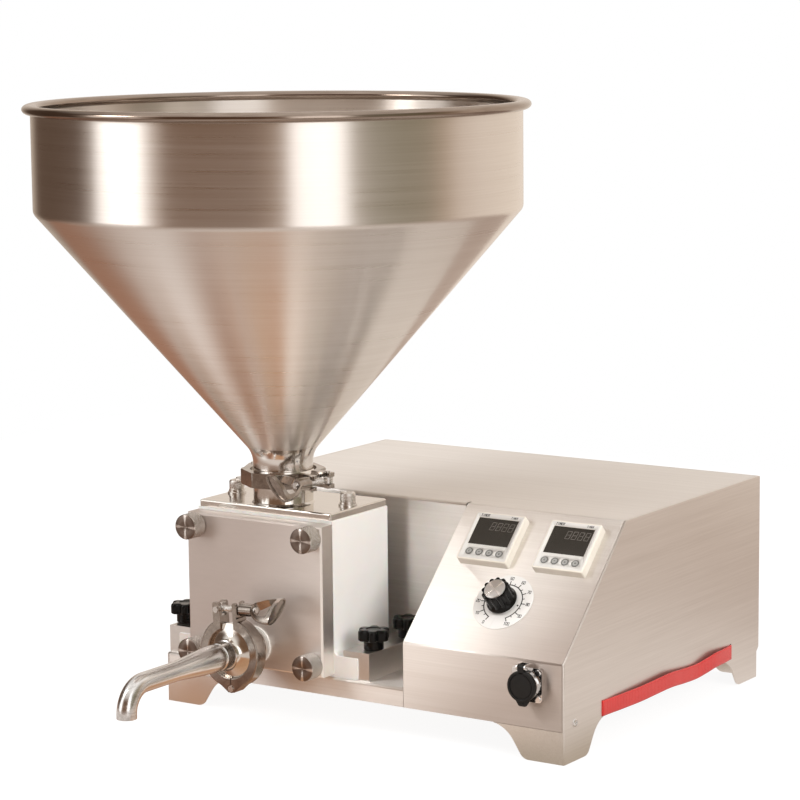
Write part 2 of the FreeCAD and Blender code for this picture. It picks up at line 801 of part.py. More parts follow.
def inlet_plate():
    """Plate on top of the body with the welded inlet tube and its flange."""
    half = pump_width / 2 - inlet_plate_inset
    plate = block(pump_x - half, pump_x + half, pump_front, pump_back + inlet_plate_overhang,
                  pump_top, inlet_plate_top)
    plate = softened(plate, 1.5, lambda p, d: abs(p.z - inlet_plate_top) < 0.01
                     or abs(d.z) > 0.99)
    inner = tube_radius - tube_wall
    rim = inlet_joint_z - gasket_half
    profile = flange_profile(inlet_flange_radius, tube_radius, inner)
    tube = turned([(r, rim + gasket_half - h) for r, h in profile]
                  + [(tube_radius, inlet_plate_top), (inner, inlet_plate_top)],
                  Vector(pump_x, hopper_y, 0))
    weld = turned([(tube_radius - 0.5, inlet_plate_top), (tube_radius + weld_radius, inlet_plate_top),
                   (tube_radius - 0.5, inlet_plate_top + weld_radius + 0.5)],
                  Vector(pump_x, hopper_y, 0))
    plate = plate.cut(rod(inner, Vector(pump_x, hopper_y, pump_top - 1), up,
                          inlet_plate_thickness + 2))
    plate = plate.fuse([tube, weld]).removeSplitter()
    for x, y in inlet_screw_places:
        plate = plate.cut(rod(screw_shank, Vector(x, y, pump_top - 1), up,
                              inlet_plate_thickness + 2))
    return plate


def inlet_plate_screws():
    """Socket head screws with a flat and a spring washer each."""
    screws = []
    for x, y in inlet_screw_places:
        base = Vector(x, y, inlet_plate_top)
        head_z = cap_washer + spring_washer
        head = rod(cap_screw_radius, base + up * head_z, up, cap_screw_head)
        head = head.makeFillet(0.7, [e for e in head.Edges
                                     if e.Closed and e.CenterOfMass.z > base.z + head_z + 1])
        socket = Part.Face(Part.makePolygon(
            [base + up * (head_z + cap_screw_head / 2)
             + Vector(math.cos(math.radians(a)), math.sin(math.radians(a)), 0) * cap_screw_socket
             for a in range(0, 361, 60)])).extrude(up * cap_screw_head)
        shank = rod(screw_shank, base - up * (inlet_plate_thickness + screw_bite), up,
                    inlet_plate_thickness + screw_bite + head_z)
        washers = rod(cap_washer_radius, base, up, cap_washer)
        washers = washers.fuse(rod(spring_washer_radius, base + up * cap_washer, up, spring_washer))
        screws.append(head.cut(socket).fuse([shank, washers]))
    return Part.makeCompound(screws)


# ------------------------------------------------------------------ flanged joints
def flange_profile(rim_radius, tube, inner):
    """(radius, height) from the gasket's face to the tube; height is from the joint's middle."""
    low_radius = rim_radius - clamp_lip - 0.8
    drop = (rim_radius - low_radius) * flange_taper
    top = gasket_half + flange_rim
    return [(inner, gasket_half), (rim_radius, gasket_half), (rim_radius, top),
            (low_radius, top + drop), (tube, top + drop + (low_radius - tube) * 0.8)]


def hopper():
    """Spun hopper: rolled rim, short cylinder, steep cone, neck and flange."""
    lift = inlet_joint_z
    inner = tube_radius - tube_wall
    flange = [(r, lift + h) for r, h in flange_profile(inlet_flange_radius, tube_radius, inner)]
    wall = hopper_wall
    cone_angle = math.atan2(hopper_fold_z - hopper_neck_z, hopper_radius - tube_radius)
    lean = wall * math.tan(cone_angle / 2)
    bead_z = hopper_rim_z - rim_bead_radius
    outside = flange[1:] + [(tube_radius, hopper_neck_z, neck_round),
                            (hopper_radius, hopper_fold_z, fold_round),
                            (hopper_radius, bead_z)]
    inside = [(hopper_radius - wall, bead_z),
              (hopper_radius - wall, hopper_fold_z + lean, fold_round - wall),
              (inner, hopper_neck_z + lean, neck_round + wall), (inner, lift + gasket_half)]
    centre = Vector(pump_x, hopper_y, 0)
    shell = turned(outside + inside, centre)
    bead_radius = hopper_radius + rim_bead_clearance
    bead = Part.makeTorus(bead_radius, rim_bead_radius, Vector(pump_x, hopper_y, bead_z), up)
    return shell.fuse(bead).removeSplitter()


def outlet_ferrule():
    """Short tube screwed into the front cover, with a collar and a flange."""
    joint = Vector(pump_x, outlet_joint_y, outlet_z)
    inner = outlet_tube_radius - tube_wall
    end = pump_front - outlet_joint_y
    collar_face = cover_front - outlet_washer_thickness - outlet_joint_y
    tube = turned(flange_profile(outlet_flange_radius, outlet_tube_radius, inner)
                  + [(outlet_tube_radius, end), (inner, end)], joint, back)
    collar = rod(outlet_collar_radius, joint + back * (collar_face - outlet_collar_length), back,
                 outlet_collar_length)
    return tube.fuse(collar.cut(rod(inner, joint, back, end))).removeSplitter()


def spout():
    """Flange, tapered tube and a bend that points straight down."""
    joint = Vector(pump_x, outlet_joint_y, outlet_z)
    front = back * -1

    def tube_solid(root, tip):
        bend_start = spout_reach - spout_bend_radius
        cone_end = spout_cone_start + spout_cone_length
        body = turned([(0, gasket_half), (root, gasket_half), (root, spout_cone_start),
                       (tip, cone_end), (tip, bend_start), (0, bend_start)], joint, front)
        centre = joint + front * bend_start - up * spout_bend_radius
        ring_face = Part.Face(Part.Wire(Part.makeCircle(tip, joint + front * bend_start, front)))
        elbow = ring_face.revolve(centre, right, 90)
        end_top = centre + front * spout_bend_radius
        drop = rod(tip, end_top, up * -1, spout_drop - spout_bend_radius)
        return body.fuse([elbow, drop]).removeSplitter()
    outer = tube_solid(spout_root_radius, spout_tip_radius)
    inner = tube_solid(spout_root_radius - spout_wall, spout_tip_radius - spout_wall)
    profile = flange_profile(outlet_flange_radius, spout_root_radius + 2.5, 0)
    flange = turned(profile + [(spout_root_radius, profile[-1][1] + 4), (0, profile[-1][1] + 4)],
                    joint, front)
    tip_end = Vector(pump_x, spout_tip_y, spout_tip_z)
    tools = [inner, rod(spout_tip_radius - spout_wall, tip_end - up, up, 2),
             rod(spout_root_radius - spout_wall, joint, front, 2 * gasket_half)]
    return outer.fuse(flange).cut(tools)


def seals():
    """White gaskets of both flanged joints, the outlet's washer and the shaft's lip seal."""
    joint_y = Vector(pump_x, outlet_joint_y, outlet_z)
    inlet = turned([(tube_radius - tube_wall, -gasket_half), (inlet_flange_radius, -gasket_half),
                    (inlet_flange_radius, gasket_half), (tube_radius - tube_wall, gasket_half)],
                   Vector(pump_x, hopper_y, inlet_joint_z))
    outlet = turned([(spout_root_radius, -gasket_half), (outlet_flange_radius, -gasket_half),
                     (outlet_flange_radius, gasket_half), (spout_root_radius, gasket_half)],
                    joint_y, back)
    start = cover_front - outlet_washer_thickness
    washer = turned([(outlet_tube_radius, 0), (outlet_washer_radius, 0),
                     (outlet_washer_radius, outlet_washer_thickness),
                     (outlet_tube_radius, outlet_washer_thickness)],
                    Vector(pump_x, start, outlet_z), back)
    shaft = turned([(shaft_radius + running_gap, 0), (shaft_seal_radius, 0),
                    (shaft_seal_radius, shaft_seal_length),
                    (shaft_radius + running_gap, shaft_seal_length)],
                   Vector(drive_x, pump_back - shaft_seal_length, gear_axis_z), back)
    return Part.makeCompound([inlet, outlet, washer, shaft])


class ClampJoint:
    """Two-piece clamp about the local z axis; ears towards +y, bolt along +x."""

    def __init__(self, rim_radius, placement, nut_turn, facets=0):
        self.rim = rim_radius
        self.lip = rim_radius - clamp_lip
        self.outer = rim_radius + clamp_body
        self.placement = placement
        self.nut_turn = nut_turn
        self.facets = facets
        self.bolt_y = self.outer + ear_lift
        self.pivot = Vector(-(ear_gap + pivot_ear_thickness) / 2, self.bolt_y, 0)
        self.ear_face = ear_gap / 2 + slot_ear_thickness - self.pivot.x
        self.hinge = Vector(0, -(self.outer + hinge_lift), 0)

    def ring(self):
        """The whole ring with its tapered groove, before it is split."""
        w = clamp_half_width
        lip_height = gasket_half + flange_rim + clamp_lip * flange_taper
        bottom = self.rim + clamp_rim_gap
        bottom_height = gasket_half + flange_rim - clamp_rim_gap * flange_taper
        ring = turned([(self.lip, -w, 0.6), (self.outer, -w, 1.2), (self.outer, w, 1.2),
                       (self.lip, w, 0.6), (self.lip, lip_height), (bottom, bottom_height),
                       (bottom, -bottom_height), (self.lip, -lip_height)])
        if not self.facets:
            return ring
        corners = []
        for i in range(self.facets):
            angle = math.pi / 2 + 2 * math.pi * i / self.facets
            corners.append((self.outer * math.cos(angle), self.outer * math.sin(angle), 1.5))
        return ring.common(slab(corners, level(-w), up * 2 * w))

    def half(self, side):
        """One half of the clamp; side -1 carries the bolt's pivot, +1 the open slot."""
        w = clamp_half_width
        big = 2 * self.outer
        thickness = pivot_ear_thickness if side < 0 else slot_ear_thickness
        inner_cut = rod(self.rim + 1.5 * clamp_rim_gap, Vector(0, 0, -w - 1), up, 2 * w + 2)
        x0, x1 = sorted((side * clamp_split / 2, side * big))
        ring = self.ring().common(block(x0, x1, -big, big, -w, w))
        e0, e1 = sorted((side * ear_gap / 2, side * (ear_gap / 2 + thickness)))
        ear_top = self.bolt_y + ear_round
        ear = slab([(e0, 0), (e1, 0), (e1, ear_top, ear_corner), (e0, ear_top, ear_corner)],
                   level(-w), up * 2 * w)
        web_end = self.hinge.y - knuckle_radius * 0.9
        web = slab([(side * clamp_split / 2, web_end), (side * knuckle_radius * 0.8, web_end),
                    (side * self.outer * 0.5, -self.outer * 0.8),
                    (side * clamp_split / 2, -self.outer * 0.8)], level(-w), up * 2 * w)
        body = ring.fuse([ear.cut(inner_cut), web.cut(inner_cut)])
        body = body.cut(block(-ear_gap / 2, ear_gap / 2, 0, big, -w - 1, w + 1))
        slit = knuckle_radius + knuckle_gap
        if side < 0:
            body = body.fuse(rod(knuckle_radius, self.hinge - up * (knuckle_half - knuckle_gap), up,
                                 2 * (knuckle_half - knuckle_gap)))
            for z in (-w - 1, knuckle_half):
                body = body.cut(rod(slit, self.hinge + up * z, up, w + 1 - knuckle_half))
            slot = block(e0 - 1, e1 + 1, self.bolt_y - eye_radius - 1, big,
                         -eye_half - knuckle_gap, eye_half + knuckle_gap)
            body = body.cut([slot, rod(clamp_pin_radius, self.pivot - up * (w + 1), up, 2 * w + 2)])
        else:
            for z in (-w, knuckle_half + knuckle_gap):
                body = body.fuse(rod(knuckle_radius, self.hinge + up * z, up,
                                     w - knuckle_half - knuckle_gap))
            body = body.cut(rod(slit, self.hinge - up * knuckle_half, up, 2 * knuckle_half))
            slot = block(e0 - 1, e1 + 1, self.bolt_y - slot_half, big, -slot_half, slot_half)
            face = rod(self.ear_face, self.pivot - up * (w + 1), up, 2 * w + 2)
            beyond = block(0, big, self.outer, big, -w - 1, w + 1).cut(face)
            body = body.cut([slot, beyond])
        return body.cut(rod(clamp_pin_radius, self.hinge - up * (w + 1), up, 2 * w + 2))

    def halves(self):
        """Both halves, closed."""
        return moved(Part.makeCompound([self.half(-1), self.half(1)]), self.placement)

    def pins(self):
        """The hinge's pin and the bolt's pivot pin, each with two rivet heads."""
        w = clamp_half_width
        pins = []
        for place in (self.hinge, self.pivot):
            pin = rod(clamp_pin_radius, place - up * w, up, 2 * w)
            heads = [rod(pin_head_radius, place + up * z, up, pin_head_height)
                     for z in (w, -w - pin_head_height)]
            pins.append(pin.fuse(heads).removeSplitter())
        return [moved(pin, self.placement) for pin in pins]

    def bolt(self):
        """Swing bolt: an eye on the pivot pin and a threaded shank."""
        eye = rod(eye_radius, self.pivot - up * eye_half, up, 2 * eye_half)
        shank = rod(clamp_bolt_radius, self.pivot, right, clamp_bolt_length)
        hole = rod(clamp_pin_radius + running_gap, self.pivot - up * (eye_half + 1), up,
                   2 * eye_half + 2)
        return moved(eye.fuse(shank).cut(hole), self.placement)

    def wing_nut(self):
        """Long nut that flares into a flat oval handle with a window through it."""
        start = self.pivot + right * (self.ear_face + nut_face_gap)

        def oval(x, half_long, half_short):
            """An ellipse across the bolt, long along y."""
            curve = Part.Ellipse(start + right * x + Vector(0, half_long, 0),
                                 start + right * x + Vector(0, 0, half_short), start + right * x)
            return Part.Wire(curve.toShape())
        root = nut_barrel_radius
        shoulder = nut_end_long * 0.84
        barrel = rod(root, start, right, nut_barrel_length + 1)
        barrel = barrel.makeChamfer(0.8, [e for e in barrel.Edges if e.BoundBox.XMax < start.x + 0.01])
        flare = Part.makeLoft([oval(nut_barrel_length, root * 1.1, root * 0.99),
                               oval(nut_shoulder, shoulder, nut_end_short),
                               oval(nut_length, nut_end_long, nut_end_short)], True)
        inner = shoulder - nut_side_wall
        points = [(nut_window_start, -root * 0.7, 2), (nut_shoulder, -inner, 4),
                  (nut_window_end, 1 - nut_end_long + nut_side_wall, 2.5),
                  (nut_window_end, nut_end_long - nut_side_wall - 1, 2.5), (nut_shoulder, inner, 4),
                  (nut_window_start, root * 0.7, 2)]
        window = slab(points, lambda u, v: start + Vector(u, v, -2 * nut_end_short),
                      up * 4 * nut_end_short)
        rim = nut_end_short - nut_end_dish
        dish = Part.Face(oval(nut_length - nut_end_dish, nut_end_long - nut_end_dish, rim))
        dish = dish.extrude(right * 2 * nut_end_dish)
        bore = rod(clamp_bolt_radius + running_gap, start - right, right, nut_window_start + 2)
        nut = barrel.fuse(flare).removeSplitter().cut([window, dish, bore])
        nut.rotate(start, right, self.nut_turn)
        return moved(nut, self.placement)


hopper_joint = ClampJoint(inlet_flange_radius,
                          Placement(Vector(pump_x, hopper_y, inlet_joint_z),
                                    Rotation(up, hopper_clamp_angle)),
                          hopper_nut_turn, hopper_clamp_facets)
upright = Placement(Vector(pump_x, outlet_joint_y, outlet_z), Rotation(right, 90))
spout_joint = ClampJoint(outlet_flange_radius,
                         upright.multiply(Placement(Vector(), Rotation(up, spout_clamp_angle))),
                         spout_nut_turn)


def clamp_pins():
    """Rivet pins of both clamps."""
    return Part.makeCompound(hopper_joint.pins() + spout_joint.pins())


# ------------------------------------------------------------------ hand fasteners
def threaded_studs():
    """Studs for the thumb nuts and for the star knobs."""
    front_end = cover_front - thumb_nut_gap - thumb_nut_length * thumb_nut_bore
    studs = [rod(stud_radius, Vector(x, front_end, z), back, pump_front + stud_depth - front_end)
             for x, z in stud_places]
    top = bar_top + knob_gap + knob_stud_depth
    studs += [rod(stud_radius, Vector(x, y, shelf_height - sheet), up,
                  top - shelf_height + sheet) for x, y in knob_places.values()]
    return Part.makeCompound(studs)


def thumb_nut(x, z):
    """Round knurled nut with a closed, turned face."""
    start = Vector(x, cover_front - thumb_nut_gap, z)
    front = back * -1
    nut = rod(thumb_nut_radius, start, front, thumb_nut_length)
    nut = nut.makeChamfer(thumb_nut_edge, [e for e in nut.Edges if e.Closed])
    bore = thumb_nut_length * thumb_nut_bore + thumb_nut_gap + 1
    return nut.cut(rod(stud_radius + running_gap, start - front, front, bore + 1))


def clamp_bars():
    """Steel bars over the white feet, one on each side."""
    bars = []
    foot_top = shelf_height + foot_flange_height
    for side in (-1, 1):
        outer = pump_x + side * bar_reach
        lip = outer - side * bar_width
        leg = pump_x + side * (pump_width / 2 + foot_reach)
        points = [(outer, shelf_height), (outer, bar_top, bar_edge), (lip, bar_top, bar_edge),
                  (lip, foot_top), (leg, foot_top), (leg, shelf_height)]
        bar = slab(points, facing(bar_front), back * bar_length)
        for y in (knob_front_y, knob_front_y + knob_spacing):
            x = pump_x + side * knob_reach
            bar = bar.cut(rod(stud_radius, Vector(x, y, shelf_height - 1), up, bar_top))
        bars.append(bar)
    return Part.makeCompound(bars)


def star_knob(x, y):
    """Six-lobed knob on a stud."""
    base = Vector(x, y, bar_top + knob_gap)
    knob = rod(knob_lobe_ring, base + up * knob_hub_height, up, knob_height - knob_hub_height)
    knob = knob.fuse(rod(knob_hub_radius, base, up, knob_hub_height))
    lobes = []
    for i in range(knob_lobes):
        angle = 2 * math.pi * (i + 0.5) / knob_lobes
        place = base + Vector(math.cos(angle), math.sin(angle), 0) * knob_lobe_ring
        lobes.append(rod(knob_lobe_radius, place + up * knob_hub_height, up,
                         knob_height - knob_hub_height))
    knob = knob.fuse(lobes).removeSplitter()
    rim = [e for e in knob.Edges if e.BoundBox.ZMin > base.z + knob_height - 0.01]
    knob = knob.makeFillet(1.5, rim)
    return knob.cut(rod(stud_radius + running_gap, base - up, up, knob_stud_depth + knob_gap + 1))


# ------------------------------------------------------------------ console
def timer_housings():
    """Two square timers: bezel on the slope and the case behind it."""
    timers = []
    for x in timer_centres:
        half = timer_size / 2
        low = timer_s - half
        bezel = slab([(x - half, low, timer_corner), (x + half, low, timer_corner),
                      (x + half, low + timer_size, timer_corner),
                      (x - half, low + timer_size, timer_corner)], level(0), up * timer_proud)
        top_edges = [e for e in bezel.Edges if e.BoundBox.ZMin > timer_proud - 0.01]
        bezel = bezel.makeFillet(0.9, top_edges)
        body = timer_body_size / 2
        case = block(x - body, x + body, timer_s - body, timer_s + body, -timer_body_depth, 0)
        timer = bezel.fuse(case)
        top = low + timer_size - timer_window_top
        timer = timer.cut(block(x - timer_window_width / 2, x + timer_window_width / 2,
                                top - timer_window_height, top, timer_proud - timer_window_depth,
                                timer_proud + 1))
        for i in range(4):
            place = Vector(button_x(x, i), low + button_from_edge, timer_proud - button_well)
            timer = timer.cut(rod(button_radius + button_gap, place, up, button_well + 1))
        timers.append(moved(timer, on_slope))
    return Part.makeCompound(timers)


def button_x(timer_x, index):
    """Middle of one of a timer's four buttons."""
    return timer_x + (index - 1.5) * button_pitch


def timer_windows():
    """Dark display windows, a little below the bezels."""
    windows = []
    for x in timer_centres:
        top = timer_s + timer_size / 2 - timer_window_top
        window = block(x - timer_window_width / 2, x + timer_window_width / 2,
                       top - timer_window_height, top, timer_proud - timer_window_depth,
                       timer_proud - 0.3)
        windows.append(moved(window, on_slope))
    return Part.makeCompound(windows)


def timer_button(timer_x, index):
    """Round button that dips into its well."""
    y = timer_s - timer_size / 2 + button_from_edge
    top = timer_proud + button_proud
    button = rod(button_radius, Vector(button_x(timer_x, index), y, top - button_depth), up,
                 button_depth)
    button = button.makeFillet(0.4, [e for e in button.Edges
                                     if e.Closed and e.BoundBox.ZMin > top - 0.01])
    return moved(button, on_slope)


def dial_plate():
    """Round scale plate under the speed knob."""
    centre = Vector(dial_x, dial_s, 0)
    plate = rod(dial_radius, centre, up, dial_thickness)
    return moved(plate.cut(rod(pot_bush_radius, centre - up, up, 4)), on_slope)


def speed_knob():
    """Fluted knob with a turned cap and its own stem."""
    base = Vector(dial_x, dial_s, dial_thickness + seam_gap)
    height = dial_knob_height
    grip = turned([(0, 0), (knob_skirt_radius, 0), (knob_skirt_radius, knob_skirt_height),
                   (knob_grip_radius + 0.4, knob_skirt_height + 1), (knob_grip_radius, height, 1),
                   (0, height)], base)
    cuts = []
    for i in range(knob_flutes):
        angle = 2 * math.pi * i / knob_flutes
        place = base + Vector(math.cos(angle), math.sin(angle), 0) * (knob_grip_radius + 1.1)
        cuts.append(rod(flute_radius, place + up * (knob_skirt_height + 1.2), up, height))
    cuts.append(rod(pot_nut_radius + 1, base - up, up, pot_bush_height + 1.5))
    cap = rod(knob_cap_radius, base + up * (height - 1), up, 1 + knob_cap_rise)
    stem = rod(pot_shaft_radius, base + up * (height - 1), up * -1, height - 1 + pot_stem)
    return moved(grip.cut(cuts).fuse([cap, stem]), on_slope)


def potentiometer():
    """Pot behind the panel, its threaded bush and nut standing through the dial plate."""
    base = Vector(dial_x, dial_s, 0)
    body = rod(pot_body_radius, base - up * (sheet + pot_body_depth), up, pot_body_depth)
    bush = rod(pot_bush_radius, base - up * (sheet + 1), up, sheet + 1 + pot_bush_height)
    nut_points = [(dial_x + pot_nut_radius * math.cos(math.radians(a)),
                   dial_s + pot_nut_radius * math.sin(math.radians(a))) for a in range(0, 360, 60)]
    nut = slab(nut_points, level(dial_thickness), up * pot_nut_height)
    stem_end = dial_thickness + seam_gap - pot_stem
    hole = rod(pot_shaft_radius + running_gap, base + up * (stem_end - seam_gap), up,
               pot_stem + pot_bush_height)
    return moved(body.fuse([bush, nut]).cut(hole), on_slope)


# ------------------------------------------------------------------ pedal socket
def pedal_socket():
    """Square flanged socket for a foot pedal, with four screws and the cap's hinge ears."""
    front = back * -1
    flange = rounded_plate(socket_flange, socket_flange, socket_corner, socket_centre,
                           front * socket_flange_thickness)
    face = socket_centre + front * socket_flange_thickness
    barrel = rod(socket_barrel_radius, face, front, socket_barrel_length)
    tail = rod(socket_back_radius, socket_centre, back, socket_back_length)
    screws = []
    for dx in (-1, 1):
        for dz in (-1, 1):
            place = face + Vector(dx * socket_screw_offset, 0, dz * socket_screw_offset)
            screws.append(rod(socket_screw_radius, place, front, socket_screw_height))
    pivot = cap_pivot()
    ears = []
    for side in (-1, 1):
        x = socket_x + side * (cap_lug_half + seam_gap + cap_ear / 2)
        ear = slab([(-socket_flange_thickness, pivot.z + cap_ear_half),
                    (pivot.y - cap_ear_half, pivot.z + cap_ear_half, cap_ear_half - 0.2),
                    (pivot.y - cap_ear_half, pivot.z - cap_ear_half, cap_ear_half - 0.2),
                    (pivot.y + cap_thickness, pivot.z - cap_ear_half),
                    (-socket_flange_thickness, pivot.z - 5)],
                   across(x - cap_ear / 2), right * cap_ear)
        ears.append(ear)
    pin_half = cap_lug_half + seam_gap + cap_ear
    pin = rod(cap_pin_radius, pivot - right * pin_half, right, 2 * pin_half)
    bridge = block(socket_x - pin_half, socket_x + pin_half, -socket_flange_thickness - 1.2,
                   -socket_flange_thickness, socket_z + socket_flange / 2 - 4, pivot.z + cap_ear_half)
    web = block(socket_x - pin_half, socket_x + pin_half, -socket_flange_thickness, 0,
                socket_z + socket_flange / 2 - 2, pivot.z + cap_ear_half)
    socket = flange.fuse([barrel, tail] + screws + ears + [pin, bridge, web])
    bore_front = face + front * socket_barrel_length
    return socket.cut(rod(socket_bore_radius, bore_front + front, back, socket_barrel_length + 1))


def cap_pivot():
    """Axis of the socket cap's hinge."""
    y = -(socket_flange_thickness + socket_barrel_length + cap_gap + cap_thickness / 2)
    return Vector(socket_x, y, socket_z + cap_pivot_rise)


def socket_cap():
    """Round flip cap hung on the pin, with a lifting tab below."""
    pivot = cap_pivot()
    inner_y = pivot.y + cap_thickness / 2
    front = back * -1
    start = Vector(socket_x, inner_y, socket_z)
    disc = rod(cap_radius, start, front, cap_thickness)
    disc = disc.makeFillet(1, [e for e in disc.Edges if e.Closed
                               and e.BoundBox.YMax < inner_y - cap_thickness + 0.01])
    dish = rod(cap_radius - cap_rim_width, start + front * (cap_thickness - cap_rim), front, 2)
    half = cap_tab_width / 2
    tab = slab([(-half, -cap_radius + 2), (-half + 1, -cap_radius - cap_tab_length, 2),
                (half - 1, -cap_radius - cap_tab_length, 2), (half, -cap_radius + 2)],
               lambda u, v: start + Vector(u, 0, v), front * (cap_thickness * 0.6))
    lug = slab([(inner_y, pivot.z - 5), (inner_y, pivot.z + cap_lug_radius, cap_lug_radius - 0.1),
                (inner_y - cap_thickness, pivot.z + cap_lug_radius, cap_lug_radius - 0.1),
                (inner_y - cap_thickness, pivot.z - 5)],
               across(socket_x - cap_lug_half), right * 2 * cap_lug_half)
    cap = disc.cut(dish).fuse([tab, lug]).removeSplitter()
    return cap.cut(rod(cap_pin_radius + running_gap, pivot - right * 10, right, 20))


# ------------------------------------------------------------------ rear fittings
def power_inlet():
    """Mains inlet with a switch opening above it, in one flanged module."""
    flange = rounded_plate(module_width, module_height, module_corner, module_centre,
                           back * module_flange)
    w, h = module_body_width / 2, module_body_height / 2
    centre = module_centre
    body = block(centre.x - w, centre.x + w, centre.y - module_body_depth, centre.y,
                 centre.z - h, centre.z + h)
    module = flange.fuse(body)
    face = centre + back * module_flange
    slot_centre = face + up * -inlet_slot_drop
    slot = rounded_plate(inlet_slot_width, inlet_slot_height, 2.5, slot_centre + back,
                         back * -(inlet_slot_depth + 1))
    pins = []
    for dx, dz in ((-7.0, -1.5), (7.0, -1.5), (0.0, 2.5)):
        place = slot_centre + Vector(dx, -inlet_slot_depth, dz)
        pins.append(block(place.x - 1, place.x + 1, place.y - 0.5, place.y + inlet_pin_length,
                          place.z - 2, place.z + 2))
    pivot = rocker_pivot()
    hole_half = rocker_width / 2 + rocker_gap
    well = rod(rocker_radius + rocker_gap, pivot - right * hole_half, right, 2 * hole_half)
    mouth = block(pivot.x - hole_half, pivot.x + hole_half, pivot.y, face.y + 1,
                  pivot.z - rocker_radius - rocker_gap, pivot.z + rocker_radius + rocker_gap)
    return module.cut([slot, well, mouth]).fuse(pins)


def rocker_pivot():
    """Axis of the mains switch's rocker."""
    return module_centre + Vector(0, module_flange - rocker_pivot_depth, rocker_rise)


def rocker_switch():
    """Rocker with two sloping faces, resting on its lower end."""
    pivot = rocker_pivot()
    start = pivot - right * (rocker_width / 2)
    rocker = rod(rocker_radius, start, right, rocker_width)
    ridge = rocker_pivot_depth + 1.2
    fall = (rocker_radius + 2) * math.tan(math.radians(rocker_face_angle))
    reach = rocker_radius + 2
    keep = slab([(-reach, -6), (reach, -6), (reach, ridge - fall), (0, ridge), (-reach, ridge - fall)],
                lambda u, v: start + Vector(0, v, u), right * rocker_width)
    rocker = rocker.common(keep)
    rocker.rotate(pivot, right, rocker_face_angle)
    return rocker


# ------------------------------------------------------------------ inside the housing
def motor_bracket():
    """Upright plate that carries the gearbox, folded onto the floor."""
    plate = block(drive_x - bracket_width / 2, drive_x + bracket_width / 2, bracket_y,
                  bracket_y + bracket_thickness, floor_top, floor_top + bracket_height)
    foot = block(drive_x - bracket_width / 2, drive_x + bracket_width / 2, bracket_y,
                 bracket_y + bracket_foot, floor_top, floor_top + bracket_thickness)
    hole = rod(motor_shaft_radius + 1, Vector(drive_x, bracket_y - 1, gear_axis_z), back,
               bracket_thickness + 2)
    return plate.fuse(foot).removeSplitter().cut(hole)


def gear_motor():
    """Square gearbox with the round motor behind it."""
    start = bracket_y + bracket_thickness
    half = gearbox_size / 2
    gearbox = block(drive_x - half, drive_x + half, start, start + gearbox_length,
                    gear_axis_z - half, gear_axis_z + half)
    gearbox = softened(gearbox, 5, lambda p, d: abs(d.y) > 0.99)
    motor = rod(motor_radius, Vector(drive_x, start + gearbox_length, gear_axis_z), back,
                motor_length)
    motor_end = Vector(drive_x, start + gearbox_length + motor_length, gear_axis_z)
    end_cap = rod(motor_radius * motor_cap_share, motor_end, back, motor_cap_length)
    return gearbox.fuse([motor, end_cap])


def power_supply():
    """Boxed power supply with its terminal step."""
    x, y = supply_place
    w, d, h = supply_size
    box = block(x, x + w, y, y + d, floor_top, floor_top + h)
    return box.cut(block(x - 1, x + w + 1, y - 1, y + supply_step,
                         floor_top + h * supply_step_share, floor_top + h + 1))


def control_board():
    """Motor speed board on four posts."""
    x, y = board_place
    w, d, t = board_size
    z = floor_top + board_lift
    board = block(x, x + w, y, y + d, z, z + t)
    inset = board_post_inset
    posts = [rod(board_post_radius, Vector(px, py, floor_top), up, board_lift)
             for px in (x + inset, x + w - inset) for py in (y + inset, y + d - inset)]
    sx, sy = x + sink_place[0], y + sink_place[1]
    heat_sink = block(sx, sx + sink_size[0], sy, sy + sink_size[1], z + t, z + t + sink_size[2])
    capacitors = [rod(capacitor_radius, Vector(x + w - capacitor_radius - sink_place[1],
                                               y + capacitor_radius + sink_place[1]
                                               + i * capacitor_pitch, z + t), up, capacitor_height)
                  for i in range(2)]
    return board.fuse(posts + [heat_sink] + capacitors)


# ------------------------------------------------------------------ all pieces
def all_pieces():
    """Node name to solid, in the working frame."""
    pieces = {
        "side_panel_left": side_panel_left(), "side_panel_right": side_panel_right(),
        "top_cover": top_cover(), "console_wall": console_wall(), "shelf_plate": shelf_plate(),
        "base_plate": base_plate(), "rear_panel": rear_panel(), "case_screws": case_screws(),
        "carry_straps": carry_straps(), "clamp_bars": clamp_bars(),
        "threaded_studs": threaded_studs(), "pump_body": pump_body(),
        "front_cover": front_cover(), "inlet_plate": inlet_plate(),
        "inlet_plate_screws": inlet_plate_screws(), "hopper": hopper(), "seals": seals(),
        "hopper_clamp": hopper_joint.halves(), "hopper_clamp_bolt": hopper_joint.bolt(),
        "hopper_wing_nut": hopper_joint.wing_nut(), "outlet_ferrule": outlet_ferrule(),
        "spout": spout(), "spout_clamp": spout_joint.halves(),
        "spout_clamp_bolt": spout_joint.bolt(), "spout_wing_nut": spout_joint.wing_nut(),
        "clamp_pins": clamp_pins(), "drive_gear": drive_gear(), "drive_shafts": drive_shafts(),
        "idler_gear": idler_gear(), "idler_shaft": idler_shaft(),
        "shaft_coupling": shaft_coupling(), "gear_motor": gear_motor(),
        "motor_bracket": motor_bracket(), "power_supply": power_supply(),
        "control_board": control_board(), "timer_housings": timer_housings(),
        "timer_windows": timer_windows(), "dial_plate": dial_plate(),
        "speed_knob": speed_knob(), "potentiometer": potentiometer(),
        "pedal_socket": pedal_socket(), "socket_cap": socket_cap(),
        "power_inlet": power_inlet(), "rocker_switch": rocker_switch()}
    for name, (x, y) in knob_places.items():
        pieces["star_knob_" + name] = star_knob(x, y)
    names = ("left_low", "left_high", "right_low", "right_high")
    for name, (x, z) in zip(names, stud_places):
        pieces["thumb_nut_" + name] = thumb_nut(x, z)
    for side, timer_x in zip(("left", "right"), timer_centres):
        for i in range(4):
            pieces["timer_button_%s_%d" % (side, i + 1)] = timer_button(timer_x, i)
    return pieces


